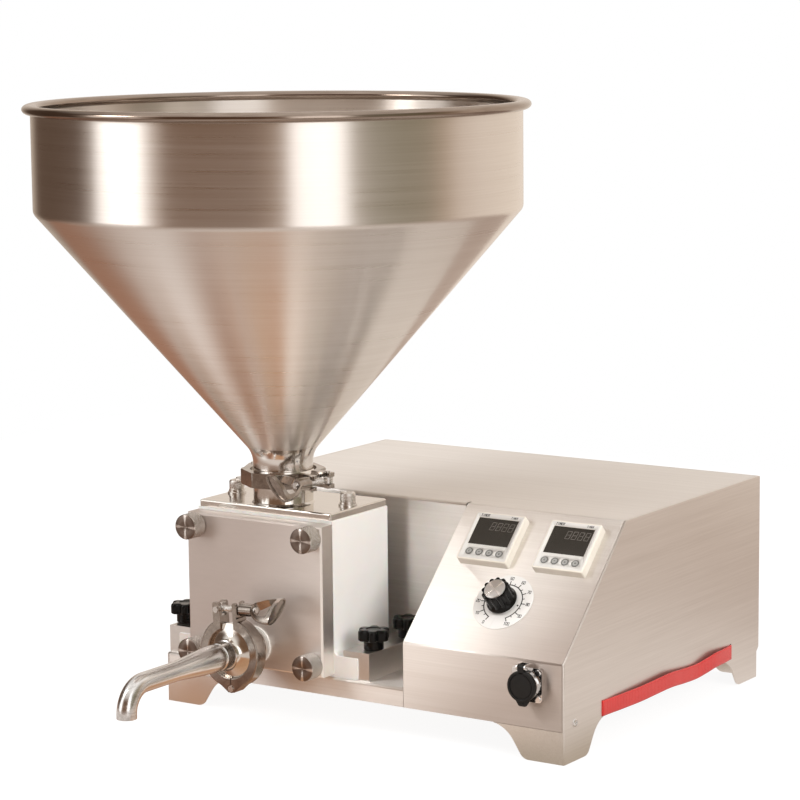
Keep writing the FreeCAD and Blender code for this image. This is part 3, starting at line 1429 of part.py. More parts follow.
def frame_origin():
    """The point under the middle of the whole machine, on the floor."""
    rim = hopper_radius + rim_bead_clearance + rim_bead_radius
    low_x = pump_x - rim
    high_x = housing_width + strap_slack
    low_y = spout_tip_y - spout_tip_radius
    high_y = housing_depth + module_flange
    return Vector((low_x + high_x) / 2, (low_y + high_y) / 2, 0)


def main():
    os.makedirs("parts", exist_ok=True)
    origin = frame_origin()
    for name, shape in all_pieces().items():
        shape = moved(shape, Placement(origin * -1, Rotation()))
        shape.exportStep("parts/%s.step" % name)
        print(name, len(shape.Solids), round(shape.Volume / 1000, 2), "cm3")


if __name__ == "__main__":
    main()
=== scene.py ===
import bpy
import bmesh
from math import atan2, cos, degrees, pi, radians, sin, tan
from mathutils import Matrix, Vector


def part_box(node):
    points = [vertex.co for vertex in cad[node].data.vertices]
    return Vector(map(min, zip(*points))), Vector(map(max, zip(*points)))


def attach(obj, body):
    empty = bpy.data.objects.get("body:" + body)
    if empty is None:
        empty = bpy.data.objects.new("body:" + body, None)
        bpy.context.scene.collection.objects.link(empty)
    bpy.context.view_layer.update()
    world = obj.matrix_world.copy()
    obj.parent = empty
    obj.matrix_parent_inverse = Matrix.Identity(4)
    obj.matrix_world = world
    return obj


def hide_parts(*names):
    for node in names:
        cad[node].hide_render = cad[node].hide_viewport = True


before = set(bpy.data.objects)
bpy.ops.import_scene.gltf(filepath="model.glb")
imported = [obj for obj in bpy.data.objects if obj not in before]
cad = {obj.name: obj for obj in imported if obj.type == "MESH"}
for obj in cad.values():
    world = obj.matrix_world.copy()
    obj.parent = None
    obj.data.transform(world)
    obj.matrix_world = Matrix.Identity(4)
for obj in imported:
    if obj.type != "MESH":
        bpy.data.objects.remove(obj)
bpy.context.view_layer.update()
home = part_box("side_panel_left")[0]      # lower left front corner of the housing
print("frame loaded,", len(cad), "nodes")


def at(x, y, z):
    # millimetres from the housing's corner to the frame's metres
    return home + Vector((x, y, z)) * 0.001


# ---- camera ----
cameraView = {"lens": 127.16, "yaw": 33.65, "pitch": 8.52, "roll": -0.57,
    "place": (1503.9, -1889.0, 623.5)}


def setCamera(view):
    yaw, pitch, roll = (radians(view[k]) for k in ("yaw", "pitch", "roll"))
    ahead = Vector((-sin(yaw) * cos(pitch), cos(yaw) * cos(pitch), -sin(pitch)))
    flat = Vector((cos(yaw), sin(yaw), 0))
    tall = flat.cross(ahead)
    right = flat * cos(roll) + tall * sin(roll)
    up = tall * cos(roll) - flat * sin(roll)
    turn = Matrix((right, up, -ahead)).transposed().to_4x4()
    camera = bpy.data.objects.new("photoCamera", bpy.data.cameras.new("photoCamera"))
    bpy.context.scene.collection.objects.link(camera)
    camera.matrix_world = Matrix.Translation(at(*view["place"])) @ turn
    camera.data.lens = view["lens"]
    camera.data.sensor_width = 36
    camera.data.clip_end = 30
    bpy.context.scene.camera = camera


setCamera(cameraView)
bpy.context.scene.view_settings.view_transform = "Standard"
print("camera set")


# ---- shader groups ----
def newGroup(name, inputs, outputs):
    group = bpy.data.node_groups.new(name, "ShaderNodeTree")
    for label, kind, value in inputs:
        socket = group.interface.new_socket(label, in_out="INPUT", socket_type="NodeSocket" + kind)
        if value is not None:
            socket.default_value = value
    for label in outputs:
        group.interface.new_socket(label, in_out="OUTPUT", socket_type="NodeSocketFloat")
    given, result = group.nodes.new("NodeGroupInput"), group.nodes.new("NodeGroupOutput")
    return group, given.outputs, result


def feed(tree, node, inputs):
    # inputs: name or number -> a number, a colour or the socket it comes from
    for key, value in inputs.items():
        if isinstance(value, bpy.types.NodeSocket):
            tree.links.new(value, node.inputs[key])
        else:
            node.inputs[key].default_value = value


def addNode(tree, kind, settings=None, inputs=None):
    node = tree.nodes.new("ShaderNode" + kind)
    for key, value in (settings or {}).items():
        setattr(node, key, value)
    feed(tree, node, inputs or {})
    return node


def calc(tree, operation, *terms):
    # one math node; each term is a number or a socket
    return addNode(tree, "Math", {"operation": operation}, dict(enumerate(terms))).outputs[0]


def mapped(tree, value, low=0.0, high=1.0, toLow=0.0, toHigh=1.0, way="LINEAR"):
    ends = {"Value": value, "From Min": low, "From Max": high, "To Min": toLow, "To Max": toHigh}
    return addNode(tree, "MapRange", {"interpolation_type": way}, ends).outputs[0]


def noise(tree, place, **inputs):
    inputs = {key.capitalize(): value for key, value in inputs.items()}
    return addNode(tree, "TexNoise", inputs={"Vector": place, **inputs}).outputs[0]


def splitAxes(tree, vector):
    return addNode(tree, "SeparateXYZ", inputs={0: vector}).outputs


def addBump(tree, shader, height, strength, distance):
    bump = addNode(tree, "Bump",
        inputs={"Strength": strength, "Distance": distance, "Height": height})
    feed(tree, shader, {"Normal": bump.outputs[0]})


def addTangent(tree, shader, axis):
    tangent = addNode(tree, "Tangent", {"direction_type": "RADIAL", "axis": axis})
    feed(tree, shader, {"Tangent": tangent.outputs[0]})


def brushedGrainGroup():
    # long thin streaks; Stretch is how often they repeat per metre along each axis
    group, given, result = newGroup("brushedGrain",
        [("Vector", "Vector", None), ("Stretch", "Vector", (8, 8, 900)), ("Coarse", "Float", 0.35)],
        ["Height", "Shade"])
    scaled = addNode(group, "VectorMath", {"operation": "MULTIPLY"},
        {0: given["Vector"], 1: given["Stretch"]}).outputs[0]
    fine = noise(group, scaled, scale=1.0, detail=5.0, roughness=0.65)
    wider = addNode(group, "VectorMath", {"operation": "SCALE"}, {"Scale": 0.21, 0: scaled})
    wide = noise(group, wider.outputs[0], scale=1.0, detail=3.0, roughness=0.6)
    mix = addNode(group, "Mix", {"data_type": "FLOAT"},
        {0: given["Coarse"], 2: fine, 3: wide}).outputs[0]
    feed(group, result, {"Height": mix, "Shade": mapped(group, mix, 0.3, 0.7)})
    return group


def smudgeGroup():
    # soft patches left by hands and cloths, 0 to 1
    group, given, result = newGroup("smudges",
        [("Vector", "Vector", None), ("Size", "Float", 14.0)], ["Mask"])
    cloud = noise(group, given["Vector"], detail=4.0, roughness=0.55, distortion=0.6,
        scale=given["Size"])
    feed(group, result, {"Mask": mapped(group, cloud, 0.35, 0.72)})
    return group


def turnedRingsGroup():
    # concentric tool marks about the object's z axis
    group, given, result = newGroup("turnedRings",
        [("Vector", "Vector", None), ("Rings", "Float", 9000.0)], ["Height", "Sheen"])
    x, y = splitAxes(group, given["Vector"])[:2]
    flat = addNode(group, "CombineXYZ", inputs={0: x, 1: y}).outputs[0]
    reach = addNode(group, "VectorMath", {"operation": "LENGTH"}, {0: flat}).outputs["Value"]
    phase = calc(group, "MULTIPLY", reach, given["Rings"])
    line = addNode(group, "CombineXYZ", inputs={0: phase}).outputs[0]
    uneven = noise(group, line, scale=0.6, detail=3.0)
    # four fans of light, as a faced disc shows
    fan = calc(group, "COSINE", calc(group, "MULTIPLY", calc(group, "ARCTAN2", y, x), 4.0))
    feed(group, result, {"Height": calc(group, "MULTIPLY", calc(group, "SINE", phase), uneven),
        "Sheen": mapped(group, fan, 0.72, 1.0)})
    return group


grainGroup, smudges, ringsGroup = brushedGrainGroup(), smudgeGroup(), turnedRingsGroup()


def emptyTree(owner):
    owner.use_nodes = True
    owner.node_tree.nodes.clear()
    return owner.node_tree


def newMaterial(name):
    material = bpy.data.materials.new(name)
    tree = emptyTree(material)
    shader = addNode(tree, "BsdfPrincipled")
    addNode(tree, "OutputMaterial", inputs={0: shader.outputs[0]})
    return material, tree, shader, addNode(tree, "TexCoord").outputs["Object"]


def useGroup(tree, group, inputs):
    return addNode(tree, "Group", {"node_tree": group}, inputs).outputs


def mixColours(tree, share, *colours, blend="MIX"):
    # each colour is three numbers or a socket, share is a number or a socket
    first, second = [(*c, 1) if isinstance(c, tuple) else c for c in colours]
    settings = {"data_type": "RGBA", "blend_type": blend}
    return addNode(tree, "Mix", settings, {0: share, 6: first, 7: second}).outputs[2]


def paintedLightSweep(tree, place, colour, direction, start, end, first, last):
    # painted light and shade: a slow change of brightness along a direction, from one tint to
    # another, standing in for how the light falls
    along = addNode(tree, "VectorMath", {"operation": "DOT_PRODUCT"}, {0: place, 1: direction})
    share = mapped(tree, along.outputs["Value"], start, end, way="SMOOTHSTEP")
    return mixColours(tree, 1.0, colour, mixColours(tree, share, first, last), blend="MULTIPLY")


def steel(name, stretch, dark, light, rough, bump=0.12, swing=0.06, coarse=0.35, patchSize=9.0,
        patchRough=0.04, anisotropic=0.0, axis=None, turn=0.0, sweep=None):
    # rough swings by half of swing either way with the grain
    material, tree, shader, place = newMaterial(name)
    grain = useGroup(tree, grainGroup, {"Stretch": stretch, "Coarse": coarse, "Vector": place})
    mask = useGroup(tree, smudges, {"Size": patchSize, "Vector": place})["Mask"]
    colour = mixColours(tree, grain["Shade"], dark, light)
    # the sweep paints light and shade into the base colour, brighter or darker along a direction
    if sweep:
        colour = paintedLightSweep(tree, place, colour, *sweep)
    half = swing * 0.5
    soft = mapped(tree, grain["Shade"], toLow=rough - half, toHigh=rough + half)
    feed(tree, shader, {"Metallic": 1.0, "Anisotropic": anisotropic, "Base Color": colour,
        "Roughness": calc(tree, "MULTIPLY_ADD", mask, patchRough, soft)})
    addBump(tree, shader, grain["Height"], bump, 0.0004)
    if axis:
        feed(tree, shader, {"Anisotropic Rotation": turn})
        addTangent(tree, shader, axis)
    return material


def turnedSteel(name, ringCount, dark, light, rough):
    material, tree, shader, place = newMaterial(name)
    rings = useGroup(tree, ringsGroup, {"Rings": ringCount, "Vector": place})
    # the four fans from the rings group are painted highlights mixed into the base colour and the
    # roughness
    feed(tree, shader, {"Metallic": 1.0, "Anisotropic": 0.7,
        "Base Color": mixColours(tree, rings["Sheen"], dark, light),
        "Roughness": mapped(tree, rings["Sheen"], toLow=rough, toHigh=rough * 0.75)})
    addBump(tree, shader, rings["Height"], 0.25, 0.0002)
    addTangent(tree, shader, "Z")
    return material


def moulded(name, dark, light, rough, patchSize=40.0, metal=0.0, inner=0.0, coat=0.0, gleam=0.5,
        skinSize=1500.0, skin=0.06):
    # plastics, rubber and paint: slight mottle, fine skin texture
    material, tree, shader, place = newMaterial(name)
    mask = useGroup(tree, smudges, {"Size": patchSize, "Vector": place})["Mask"]
    feed(tree, shader, {"Metallic": metal, "Base Color": mixColours(tree, mask, dark, light),
        "Roughness": mapped(tree, mask, toLow=rough, toHigh=rough + 0.08), "Coat Weight": coat,
        "Subsurface Weight": inner, "Subsurface Scale": 0.004, "Specular IOR Level": gleam})
    addBump(tree, shader, noise(tree, place, scale=skinSize, detail=2.0), skin, 0.0003)
    return material


sheetLight = (0.90, 0.875, 0.85)
sheetDark = (0.80, 0.77, 0.74)
# painted shade on the brushed sheets: darker towards the right and lower down, along x minus 1.3 z
sheetX = steel("sheetBrushedX", (10, 700, 700), sheetDark, sheetLight, 0.40, bump=0.08, swing=0.12,
    anisotropic=0.9, axis="X", sweep=((1, 0, -1.3), 0.0, 0.15, (1.0, 1.0, 1.0), (0.64, 0.58, 0.55)))
sheetY = steel("sheetBrushedY", (700, 10, 700), sheetDark, sheetLight, 0.34, bump=0.05,
    anisotropic=0.5, axis="Y")
# painted light on the left side panel: about a third brighter along its bottom, fading out a few
# centimetres up
footSteel = steel("footBrushed", (700, 10, 700), sheetDark, sheetLight, 0.34, bump=0.05,
    anisotropic=0.5, axis="Y", sweep=((0, 0, 1), 0.02, 0.06, (1.32, 1.36, 1.40), (1.0, 1.0, 1.0)))
# painted light and shade on the hopper: brighter low on the cone, darker up the cylinder
hopperSteel = steel("hopperBrushed", (6, 6, 700), (0.82, 0.78, 0.74), (0.92, 0.89, 0.86), 0.29,
    bump=0.07, swing=0.08, anisotropic=0.9, axis="Z", turn=0.25, patchSize=5.0, patchRough=0.02,
    sweep=((0, 0, 1), 0.31, 0.46, (1.11, 1.11, 1.11), (0.88, 0.86, 0.845)))
# the rolled bead: the hopper's steel painted much darker and browner, a painted reflection of the
# brown surroundings
beadShadedSteel = steel("rimBeadPaintedShade", (30, 30, 500), (0.24, 0.185, 0.15), (0.42, 0.35, 0.30), 0.12,
    bump=0.04, swing=0.05, patchSize=20.0)
polished = steel("polishedSteel", (60, 60, 60), (0.78, 0.75, 0.72), (0.88, 0.85, 0.82), 0.12,
    bump=0.03, swing=0.05, coarse=0.8, patchSize=60.0)
chrome = steel("chromePlate", (150, 150, 150), (0.66, 0.66, 0.66), (0.93, 0.93, 0.93), 0.10,
    bump=0.06, coarse=0.5, patchSize=90.0)
spoutSteel = steel("spoutBuffed", (420, 16, 420), (0.50, 0.49, 0.48), (0.98, 0.985, 0.99), 0.20,
    bump=0.2, swing=0.10, coarse=0.5, patchSize=60.0)
plateSteel = steel("platePolished", (30, 500, 500), (0.68, 0.65, 0.61), (0.78, 0.75, 0.71), 0.10,
    bump=0.03, swing=0.04, patchSize=30.0)
castSteel = steel("castPolished", (220, 220, 220), (0.25, 0.215, 0.19), (0.53, 0.48, 0.435), 0.16,
    swing=0.08, coarse=0.6, patchSize=120.0)
# painted light and shade: darker to the left and higher up, brighter to the right and lower down
groundSteel = steel("groundSteel", (60, 300, 300), (0.82, 0.79, 0.765), (0.88, 0.85, 0.825), 0.38,
    bump=0.02, swing=0.04, patchSize=7.0,
    sweep=((1, 0, -0.6), -0.20, 0.0, (0.78, 0.72, 0.69), (1.12, 1.12, 1.12)))
# painted light and shade on the front cover: darker at the left and top, brighter at the right and
# bottom
coverSteel = steel("coverGround", (60, 300, 300), (0.80, 0.77, 0.745), (0.85, 0.82, 0.795), 0.44,
    bump=0.02, swing=0.04, patchSize=7.0,
    sweep=((1, 0, -0.5), -0.14, 0.02, (0.76, 0.71, 0.69), (1.24, 1.25, 1.26)))
barSteel = steel("barBrushed", (200, 30, 200), (0.66, 0.635, 0.61), (0.74, 0.71, 0.685), 0.30,
    bump=0.03)
screwSteel = steel("screwSteel", (300, 300, 300), (0.60, 0.58, 0.56), (0.86, 0.84, 0.82), 0.26,
    bump=0.1, swing=0.1, coarse=0.5)
capSteel = steel("capScrewSteel", (120, 120, 500), (0.66, 0.63, 0.60), (0.84, 0.81, 0.78), 0.27,
    bump=0.05, coarse=0.5)
facedSteel = turnedSteel("facedSteel", 9000.0, (0.20, 0.155, 0.13), (0.72, 0.67, 0.63), 0.28)
knurlSteel = steel("knurledSteel", (400, 400, 400), (0.55, 0.52, 0.49), (0.88, 0.86, 0.84), 0.16,
    bump=0.05, swing=0.1)
capSilver = turnedSteel("capSilver", 7000.0, (0.62, 0.61, 0.60), (0.95, 0.94, 0.93), 0.28)
# painted shade for the floor of the hex socket
paintedSocketShade = moulded("paintedSocketShade", (0.02, 0.018, 0.016), (0.05, 0.045, 0.04), 0.5)
printWhite = moulded("printWhite", (0.85, 0.85, 0.84), (0.92, 0.92, 0.91), 0.4)
whitePlastic = moulded("whiteAcetal", (0.86, 0.855, 0.84), (0.92, 0.915, 0.90), 0.34, inner=0.15,
    patchSize=12.0)
gasketWhite = moulded("gasketWhite", (0.78, 0.77, 0.74), (0.88, 0.87, 0.84), 0.45)
knobBlack = moulded("knobBlack", (0.002, 0.002, 0.002), (0.006, 0.006, 0.006), 0.15, gleam=0.22,
    skin=0.03)
capBlack = moulded("capBlack", (0.006, 0.006, 0.006), (0.014, 0.0135, 0.013), 0.38, gleam=0.3,
    skin=0.2)
bezelIvory = moulded("bezelIvory", (0.82, 0.78, 0.70), (0.88, 0.85, 0.78), 0.36)
faceGrey = moulded("faceGrey", (0.70, 0.695, 0.675), (0.76, 0.755, 0.735), 0.42, skinSize=3000.0)
keyFace = moulded("keyFace", (0.34, 0.345, 0.335), (0.42, 0.425, 0.415), 0.42)
keyGrey = moulded("keyGrey", (0.15, 0.155, 0.15), (0.22, 0.225, 0.22), 0.42)
printBlack = moulded("printBlack", (0.012, 0.012, 0.012), (0.03, 0.03, 0.03), 0.45)
windowBlack = moulded("windowBlack", (0.012, 0.011, 0.009), (0.022, 0.020, 0.017), 0.09, coat=0.6,
    skin=0.0, patchSize=20.0)
digitDim = moulded("digitDim", (0.12, 0.11, 0.10), (0.19, 0.175, 0.165), 0.3)
dialWhite = moulded("dialWhite", (0.83, 0.83, 0.82), (0.89, 0.89, 0.88), 0.3, skin=0.02)
motorPaint = moulded("motorPaint", (0.03, 0.032, 0.035), (0.06, 0.063, 0.067), 0.5, skin=0.3)
plainMetal = moulded("plainMetal", (0.48, 0.48, 0.48), (0.62, 0.62, 0.63), 0.36, metal=1.0)
boardGreen = moulded("boardGreen", (0.015, 0.09, 0.04), (0.03, 0.14, 0.06), 0.4)


def webbing(name):
    material, tree, shader, place = newMaterial(name)
    y, z = splitAxes(tree, place)[1:]
    weft = calc(tree, "SINE", calc(tree, "MULTIPLY", y, 3600.0))
    warp = calc(tree, "SINE", calc(tree, "MULTIPLY", z, 5200.0))
    weave = calc(tree, "MULTIPLY_ADD", weft, warp, 0.5)
    mask = useGroup(tree, smudges, {"Size": 30.0, "Vector": place})["Mask"]
    mottle = calc(tree, "MULTIPLY_ADD", mask, 0.35, weave)
    feed(tree, shader, {"Roughness": 0.62, "Sheen Weight": 0.25,
        "Base Color": mixColours(tree, mottle, (0.42, 0.012, 0.014), (0.74, 0.045, 0.04))})
    addBump(tree, shader, weave, 0.5, 0.0003)
    return material


webbingRed = webbing("webbingRed")
print("materials made,", len(bpy.data.materials))


# ---- mesh tools, all in millimetres about the piece's own origin ----
def roundedLine(points, closed=False, stepAngle=12):
    # (a, b) or (a, b, radius) corners; returns plain points with the corners rounded
    corners = [(p[0], p[1], p[2] if len(p) > 2 else 0.0) for p in points]
    line = []
    for i, (a, b, radius) in enumerate(corners):
        if radius <= 0 or (not closed and i in (0, len(corners) - 1)):
            line.append((a, b))
            continue
        here = Vector((a, b))
        before = (Vector(corners[i - 1][:2]) - here).normalized()
        after = (Vector(corners[(i + 1) % len(corners)][:2]) - here).normalized()
        half = before.angle(after) / 2
        cut = radius / tan(half)
        centre = here + (before + after).normalized() * (radius / sin(half))
        start, end = here + before * cut, here + after * cut
        sweep = pi - 2 * half
        steps = max(2, int(degrees(sweep) / stepAngle))
        first, last = start - centre, end - centre
        sign = 1 if first.x * last.y - first.y * last.x > 0 else -1
        for k in range(steps + 1):
            turn = sign * sweep * k / steps
            c, s = cos(turn), sin(turn)
            reach = Vector((first.x * c - first.y * s, first.x * s + first.y * c))
            line.append(tuple(centre + reach))
    return line


def lathe(points, steps=96, closed=False, wobble=None):
    # points are (radius, height); wobble(radius, height, angle) may change the radius
    verts, faces, rings = [], [], []
    for radius, height in points:
        if radius < 1e-4:
            rings.append([len(verts)])
            verts.append((0, 0, height))
            continue
        ring = []
        for k in range(steps):
            angle = 2 * pi * k / steps
            reach = wobble(radius, height, angle) if wobble else radius
            ring.append(len(verts))
            verts.append((reach * cos(angle), reach * sin(angle), height))
        rings.append(ring)
    pairs = list(zip(rings, rings[1:])) + ([(rings[-1], rings[0])] if closed else [])
    for low, high in pairs:
        for k in range(steps):
            n = (k + 1) % steps
            if len(low) > 1 and len(high) > 1:
                faces.append((low[k], low[n], high[n], high[k]))
            elif len(high) > 1:
                faces.append((low[0], high[n], high[k]))
            elif len(low) > 1:
                faces.append((low[k], low[n], high[0]))
    return verts, faces


def prism(outline, low, high):
    count = len(outline)
    verts = [(a, b, low) for a, b in outline] + [(a, b, high) for a, b in outline]
    faces = [tuple(range(count)), tuple(range(count, 2 * count))]
    faces += [(k, (k + 1) % count, count + (k + 1) % count, count + k) for k in range(count)]
    return verts, faces


def block(x, y, z):
    # a straight-sided box between pairs of numbers
    return prism([(x[0], y[0]), (x[1], y[0]), (x[1], y[1]), (x[0], y[1])], *z)


def rectangle(width, height, corner=0.0, x=0.0, y=0.0):
    w, h = width / 2, height / 2
    return roundedLine([(x - w, y - h, corner), (x + w, y - h, corner), (x + w, y + h, corner),
        (x - w, y + h, corner)], closed=True)


def shifted(shape, offset):
    return [tuple(Vector(v) + Vector(offset)) for v in shape[0]], shape[1]


def joined(*shapes):
    verts, faces = [], []
    for shapeVerts, shapeFaces in shapes:
        start = len(verts)
        verts += shapeVerts
        faces += [tuple(i + start for i in face) for face in shapeFaces]
    return verts, faces


def makeObject(name, shape, materials, place=None, turn=None, sharp=32):
    mesh = bpy.data.meshes.new(name)
    mesh.from_pydata([Vector(v) * 0.001 for v in shape[0]], [], shape[1])
    work = bmesh.new()
    work.from_mesh(mesh)
    bmesh.ops.recalc_face_normals(work, faces=work.faces)
    for face in work.faces:
        face.smooth = True
    for edge in work.edges:
        if len(edge.link_faces) == 2 and edge.calc_face_angle(0) > radians(sharp):
            edge.smooth = False
    work.to_mesh(mesh)
    work.free()
    obj = bpy.data.objects.new(name, mesh)
    bpy.context.scene.collection.objects.link(obj)
    for material in materials if isinstance(materials, (list, tuple)) else [materials]:
        mesh.materials.append(material)
    obj.matrix_world = Matrix.Translation(place or at(0, 0, 0)) @ (turn or Matrix.Identity(4))
    return obj


def softEdges(obj, width, segments=2, angle=35):
    # a small rounded edge that catches the light
    edge = obj.modifiers.new("softEdges", "BEVEL")
    edge.width = width * 0.001
    edge.segments = segments
    edge.limit_method = "ANGLE"
    edge.angle_limit = radians(angle)
    edge.harden_normals = True
    return obj


def cutOut(obj, shapes, place=None, turn=None):
    # takes the given shapes out of a piece for good
    for shape in shapes:
        cutter = makeObject("cutter", shape, obj.data.materials[0], place, turn)
        cut = obj.modifiers.new("cut", "BOOLEAN")
        cut.operation = "DIFFERENCE"
        cut.object = cutter
        cut.solver = "EXACT"
        depsgraph = bpy.context.evaluated_depsgraph_get()
        mesh = bpy.data.meshes.new_from_object(obj.evaluated_get(depsgraph))
        obj.modifiers.remove(cut)
        old = obj.data
        obj.data = mesh
        bpy.data.meshes.remove(old)
        bpy.data.objects.remove(cutter)
    return obj


def paintFaces(obj, index, test):
    # gives a material index to the faces whose middle passes test, in millimetres
    for face in obj.data.polygons:
        if test(face.center * 1000):
            face.material_index = index


def finish(obj, body, *replaced):
    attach(obj, body)
    if replaced:
        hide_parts(*replaced)
    return obj


def inked(name, shapes, material, place, turn, body="machine"):
    finish(makeObject(name, joined(*shapes), material, place, turn), body)


facingFront = Matrix.Rotation(radians(90), 4, "X")

# ---- CAD nodes that keep their shape ----
dressing = ((sheetX, "top_cover shelf_plate base_plate rear_panel"), (footSteel, "side_panel_left"),
    (sheetY, "side_panel_right console_wall"), (barSteel, "clamp_bars"),
    (screwSteel, "threaded_studs clamp_pins"), (whitePlastic, "pump_body"),
    (coverSteel, "front_cover"), (plateSteel, "inlet_plate"), (gasketWhite, "seals"),
    (castSteel, "hopper_clamp hopper_wing_nut spout_clamp spout_wing_nut"),
    (polished, "outlet_ferrule"), (motorPaint, "gear_motor"), (dialWhite, "dial_plate"),
    (groundSteel, "drive_gear drive_shafts idler_gear idler_shaft"),
    (plainMetal, "shaft_coupling motor_bracket power_supply potentiometer"),
    (boardGreen, "control_board"), (bezelIvory, "timer_housings"), (chrome, "pedal_socket"),
    (capBlack, "power_inlet rocker_switch"))
for material, nodes in dressing:
    for node in nodes.split():
        cad[node].data.materials.clear()
        cad[node].data.materials.append(material)
print("nodes dressed")

# ---- hopper: spun cone with a rolled rim ----
hopperSizes = {"x": 105.0, "y": 31.8, "jointZ": 204.0, "tube": 25.6, "tubeWall": 1.6,
    "flange": 32.0, "neckZ": 224.0, "neckRound": 22.0, "wide": 205.5, "wall": 1.5, "foldZ": 432.0,
    "foldRound": 8.0, "rimZ": 522.0, "bead": 6.0, "beadHigh": 4.1, "beadOut": 1.0,
    "polishedBelow": 236.0}


def makeHopper(h):
    joint, high = h["jointZ"], h["beadHigh"]
    bore, inner = h["tube"] - h["tubeWall"], h["wide"] - h["wall"]
    beadR, beadZ = h["wide"] + h["beadOut"], h["rimZ"] - high
    line = [(bore, joint + 1), (h["flange"], joint + 1), (h["flange"], joint + 2.8, 0.4),
        (h["flange"] - 4.6, joint + 4.47, 0.6), (h["tube"], joint + 5.9, 1.0),
        (h["tube"], h["neckZ"], h["neckRound"]), (h["wide"], h["foldZ"], h["foldRound"]),
        (h["wide"], beadZ - high * 0.986)]
    points = roundedLine(line, stepAngle=3)
    for k in range(29):
        angle = radians(-99.6 + 345 * k / 28)
        points.append((beadR + h["bead"] * cos(angle), beadZ + high * sin(angle)))
    inside = roundedLine([(inner, beadZ - high + 0.4), (inner, h["foldZ"] + 0.6, h["foldRound"]),
        (bore, h["neckZ"] + 0.8, h["neckRound"]), (bore, joint + 1.5)], stepAngle=3)
    hopper = makeObject("spunHopper", lathe(points + inside, 256, closed=True),
        [hopperSteel, polished, beadShadedSteel], at(h["x"], h["y"], 0), sharp=28)
    paintFaces(hopper, 1, lambda c: c.z < h["polishedBelow"])
    # the bead faces get the painted darker steel
    paintFaces(hopper, 2, lambda c: c.z > beadZ - high + 0.1)
    return finish(hopper, "machine", "hopper")


makeHopper(hopperSizes)
print("hopper made")

# ---- thumb nuts: diamond knurl, spun face ----
thumbNut = {"radius": 10.9, "length": 15.5, "back": 13.3, "diamonds": 30, "depth": 0.6, "rows": 44,
    "dimple": 3.4, "places": {"left_low": (45, 55), "left_high": (45, 163), "right_low": (165, 55),
    "right_high": (165, 163)}}


def makeThumbNut(size, name):
    top, outer, dimple = size["length"], size["radius"], size["dimple"]
    points = [(0, 0), (outer - 1.0, 0), (outer - 0.3, 0.5)]
    rows = size["rows"]
    points += [(outer, 1.2 + (top - 2.6) * k / rows) for k in range(rows + 1)]
    points += [(outer - 0.25, top - 1.2), (outer - 0.3, top - 0.5), (outer - 0.9, top),
        (dimple, top), (dimple - 0.4, top - 0.25), (0, top - 0.25)]

    def knurl(radius, height, angle):
        if radius < outer - 0.01:
            return radius
        along = height / outer
        one = abs(sin(size["diamonds"] / 2 * (angle + along)))
        two = abs(sin(size["diamonds"] / 2 * (angle - along)))
        return radius - size["depth"] * (1 - min(1.0, 1.7 * min(one, two)))

    x, z = size["places"][name]
    nut = makeObject("thumbNut." + name, lathe(points, 204, wobble=knurl), [knurlSteel, facedSteel],
        at(x, -size["back"], z), facingFront, sharp=60)
    paintFaces(nut, 1, lambda c: c.z > top - 0.3)
    return finish(nut, "thumb_nut_body_" + name, "thumb_nut_" + name)


for name in thumbNut["places"]:
    makeThumbNut(thumbNut, name)

# ---- star knobs ----
starKnob = {"hub": 8.4, "hubHigh": 7.4, "high": 17.5, "reach": 14.0, "valley": 9.6, "lobes": 6,
    "dish": 6.4, "baseZ": 66.9, "places": {"right_front": (204, 20.5), "right_rear": (204, 72.5),
    "left_front": (6, 20.5), "left_rear": (6, 72.5)}}


def makeStarKnob(size, name):
    low, high, reach = size["hubHigh"], size["high"], size["reach"]
    hub, dish = size["hub"], size["dish"]
    points = roundedLine([(0, 0.3), (hub - 0.6, 0.0, 0.2), (hub, 0.6, 0.4), (hub, low + 0.2, 1.0),
        (reach, low + 0.7, 1.8), (reach, high, 2.4), (dish, high - 0.1, 0.8),
        (dish - 0.5, high - 0.8, 0.4), (0, high - 0.9)], stepAngle=15)
    middle, swell = (reach + size["valley"]) / 2, (reach - size["valley"]) / 2

    def lobes(radius, height, angle):
        if radius < hub + 0.1:
            return radius
        share = min(1.0, (radius - hub) / 3.0)
        share = share * share * (3 - 2 * share)
        wave = cos(size["lobes"] * angle)
        wave = 1 - (1 - wave) ** 1.5 / 2 ** 0.5
        return radius * (1 - share) + radius * share * (middle + swell * wave) / reach

    x, y = size["places"][name]
    knob = makeObject("starKnob." + name, lathe(points, 180, wobble=lobes), knobBlack,
        at(x, y, size["baseZ"]), sharp=70)
    return finish(knob, "star_knob_body_" + name, "star_knob_" + name)


for name in starKnob["places"]:
    makeStarKnob(starKnob, name)
print("nuts and star knobs made")

# ---- cap screws on the inlet plate ----
capScrew = {"places": ((46.5, 43.5), (163.5, 43.5)), "baseZ": 181.5, "washer": 8.0, "split": 6.9,
    "head": 6.5, "high": 8.0, "socket": 3.6, "socketDeep": 4.5, "ridges": 54, "ridgeDeep": 0.13,
    "washerHigh": 1.6, "headFrom": 3.8}


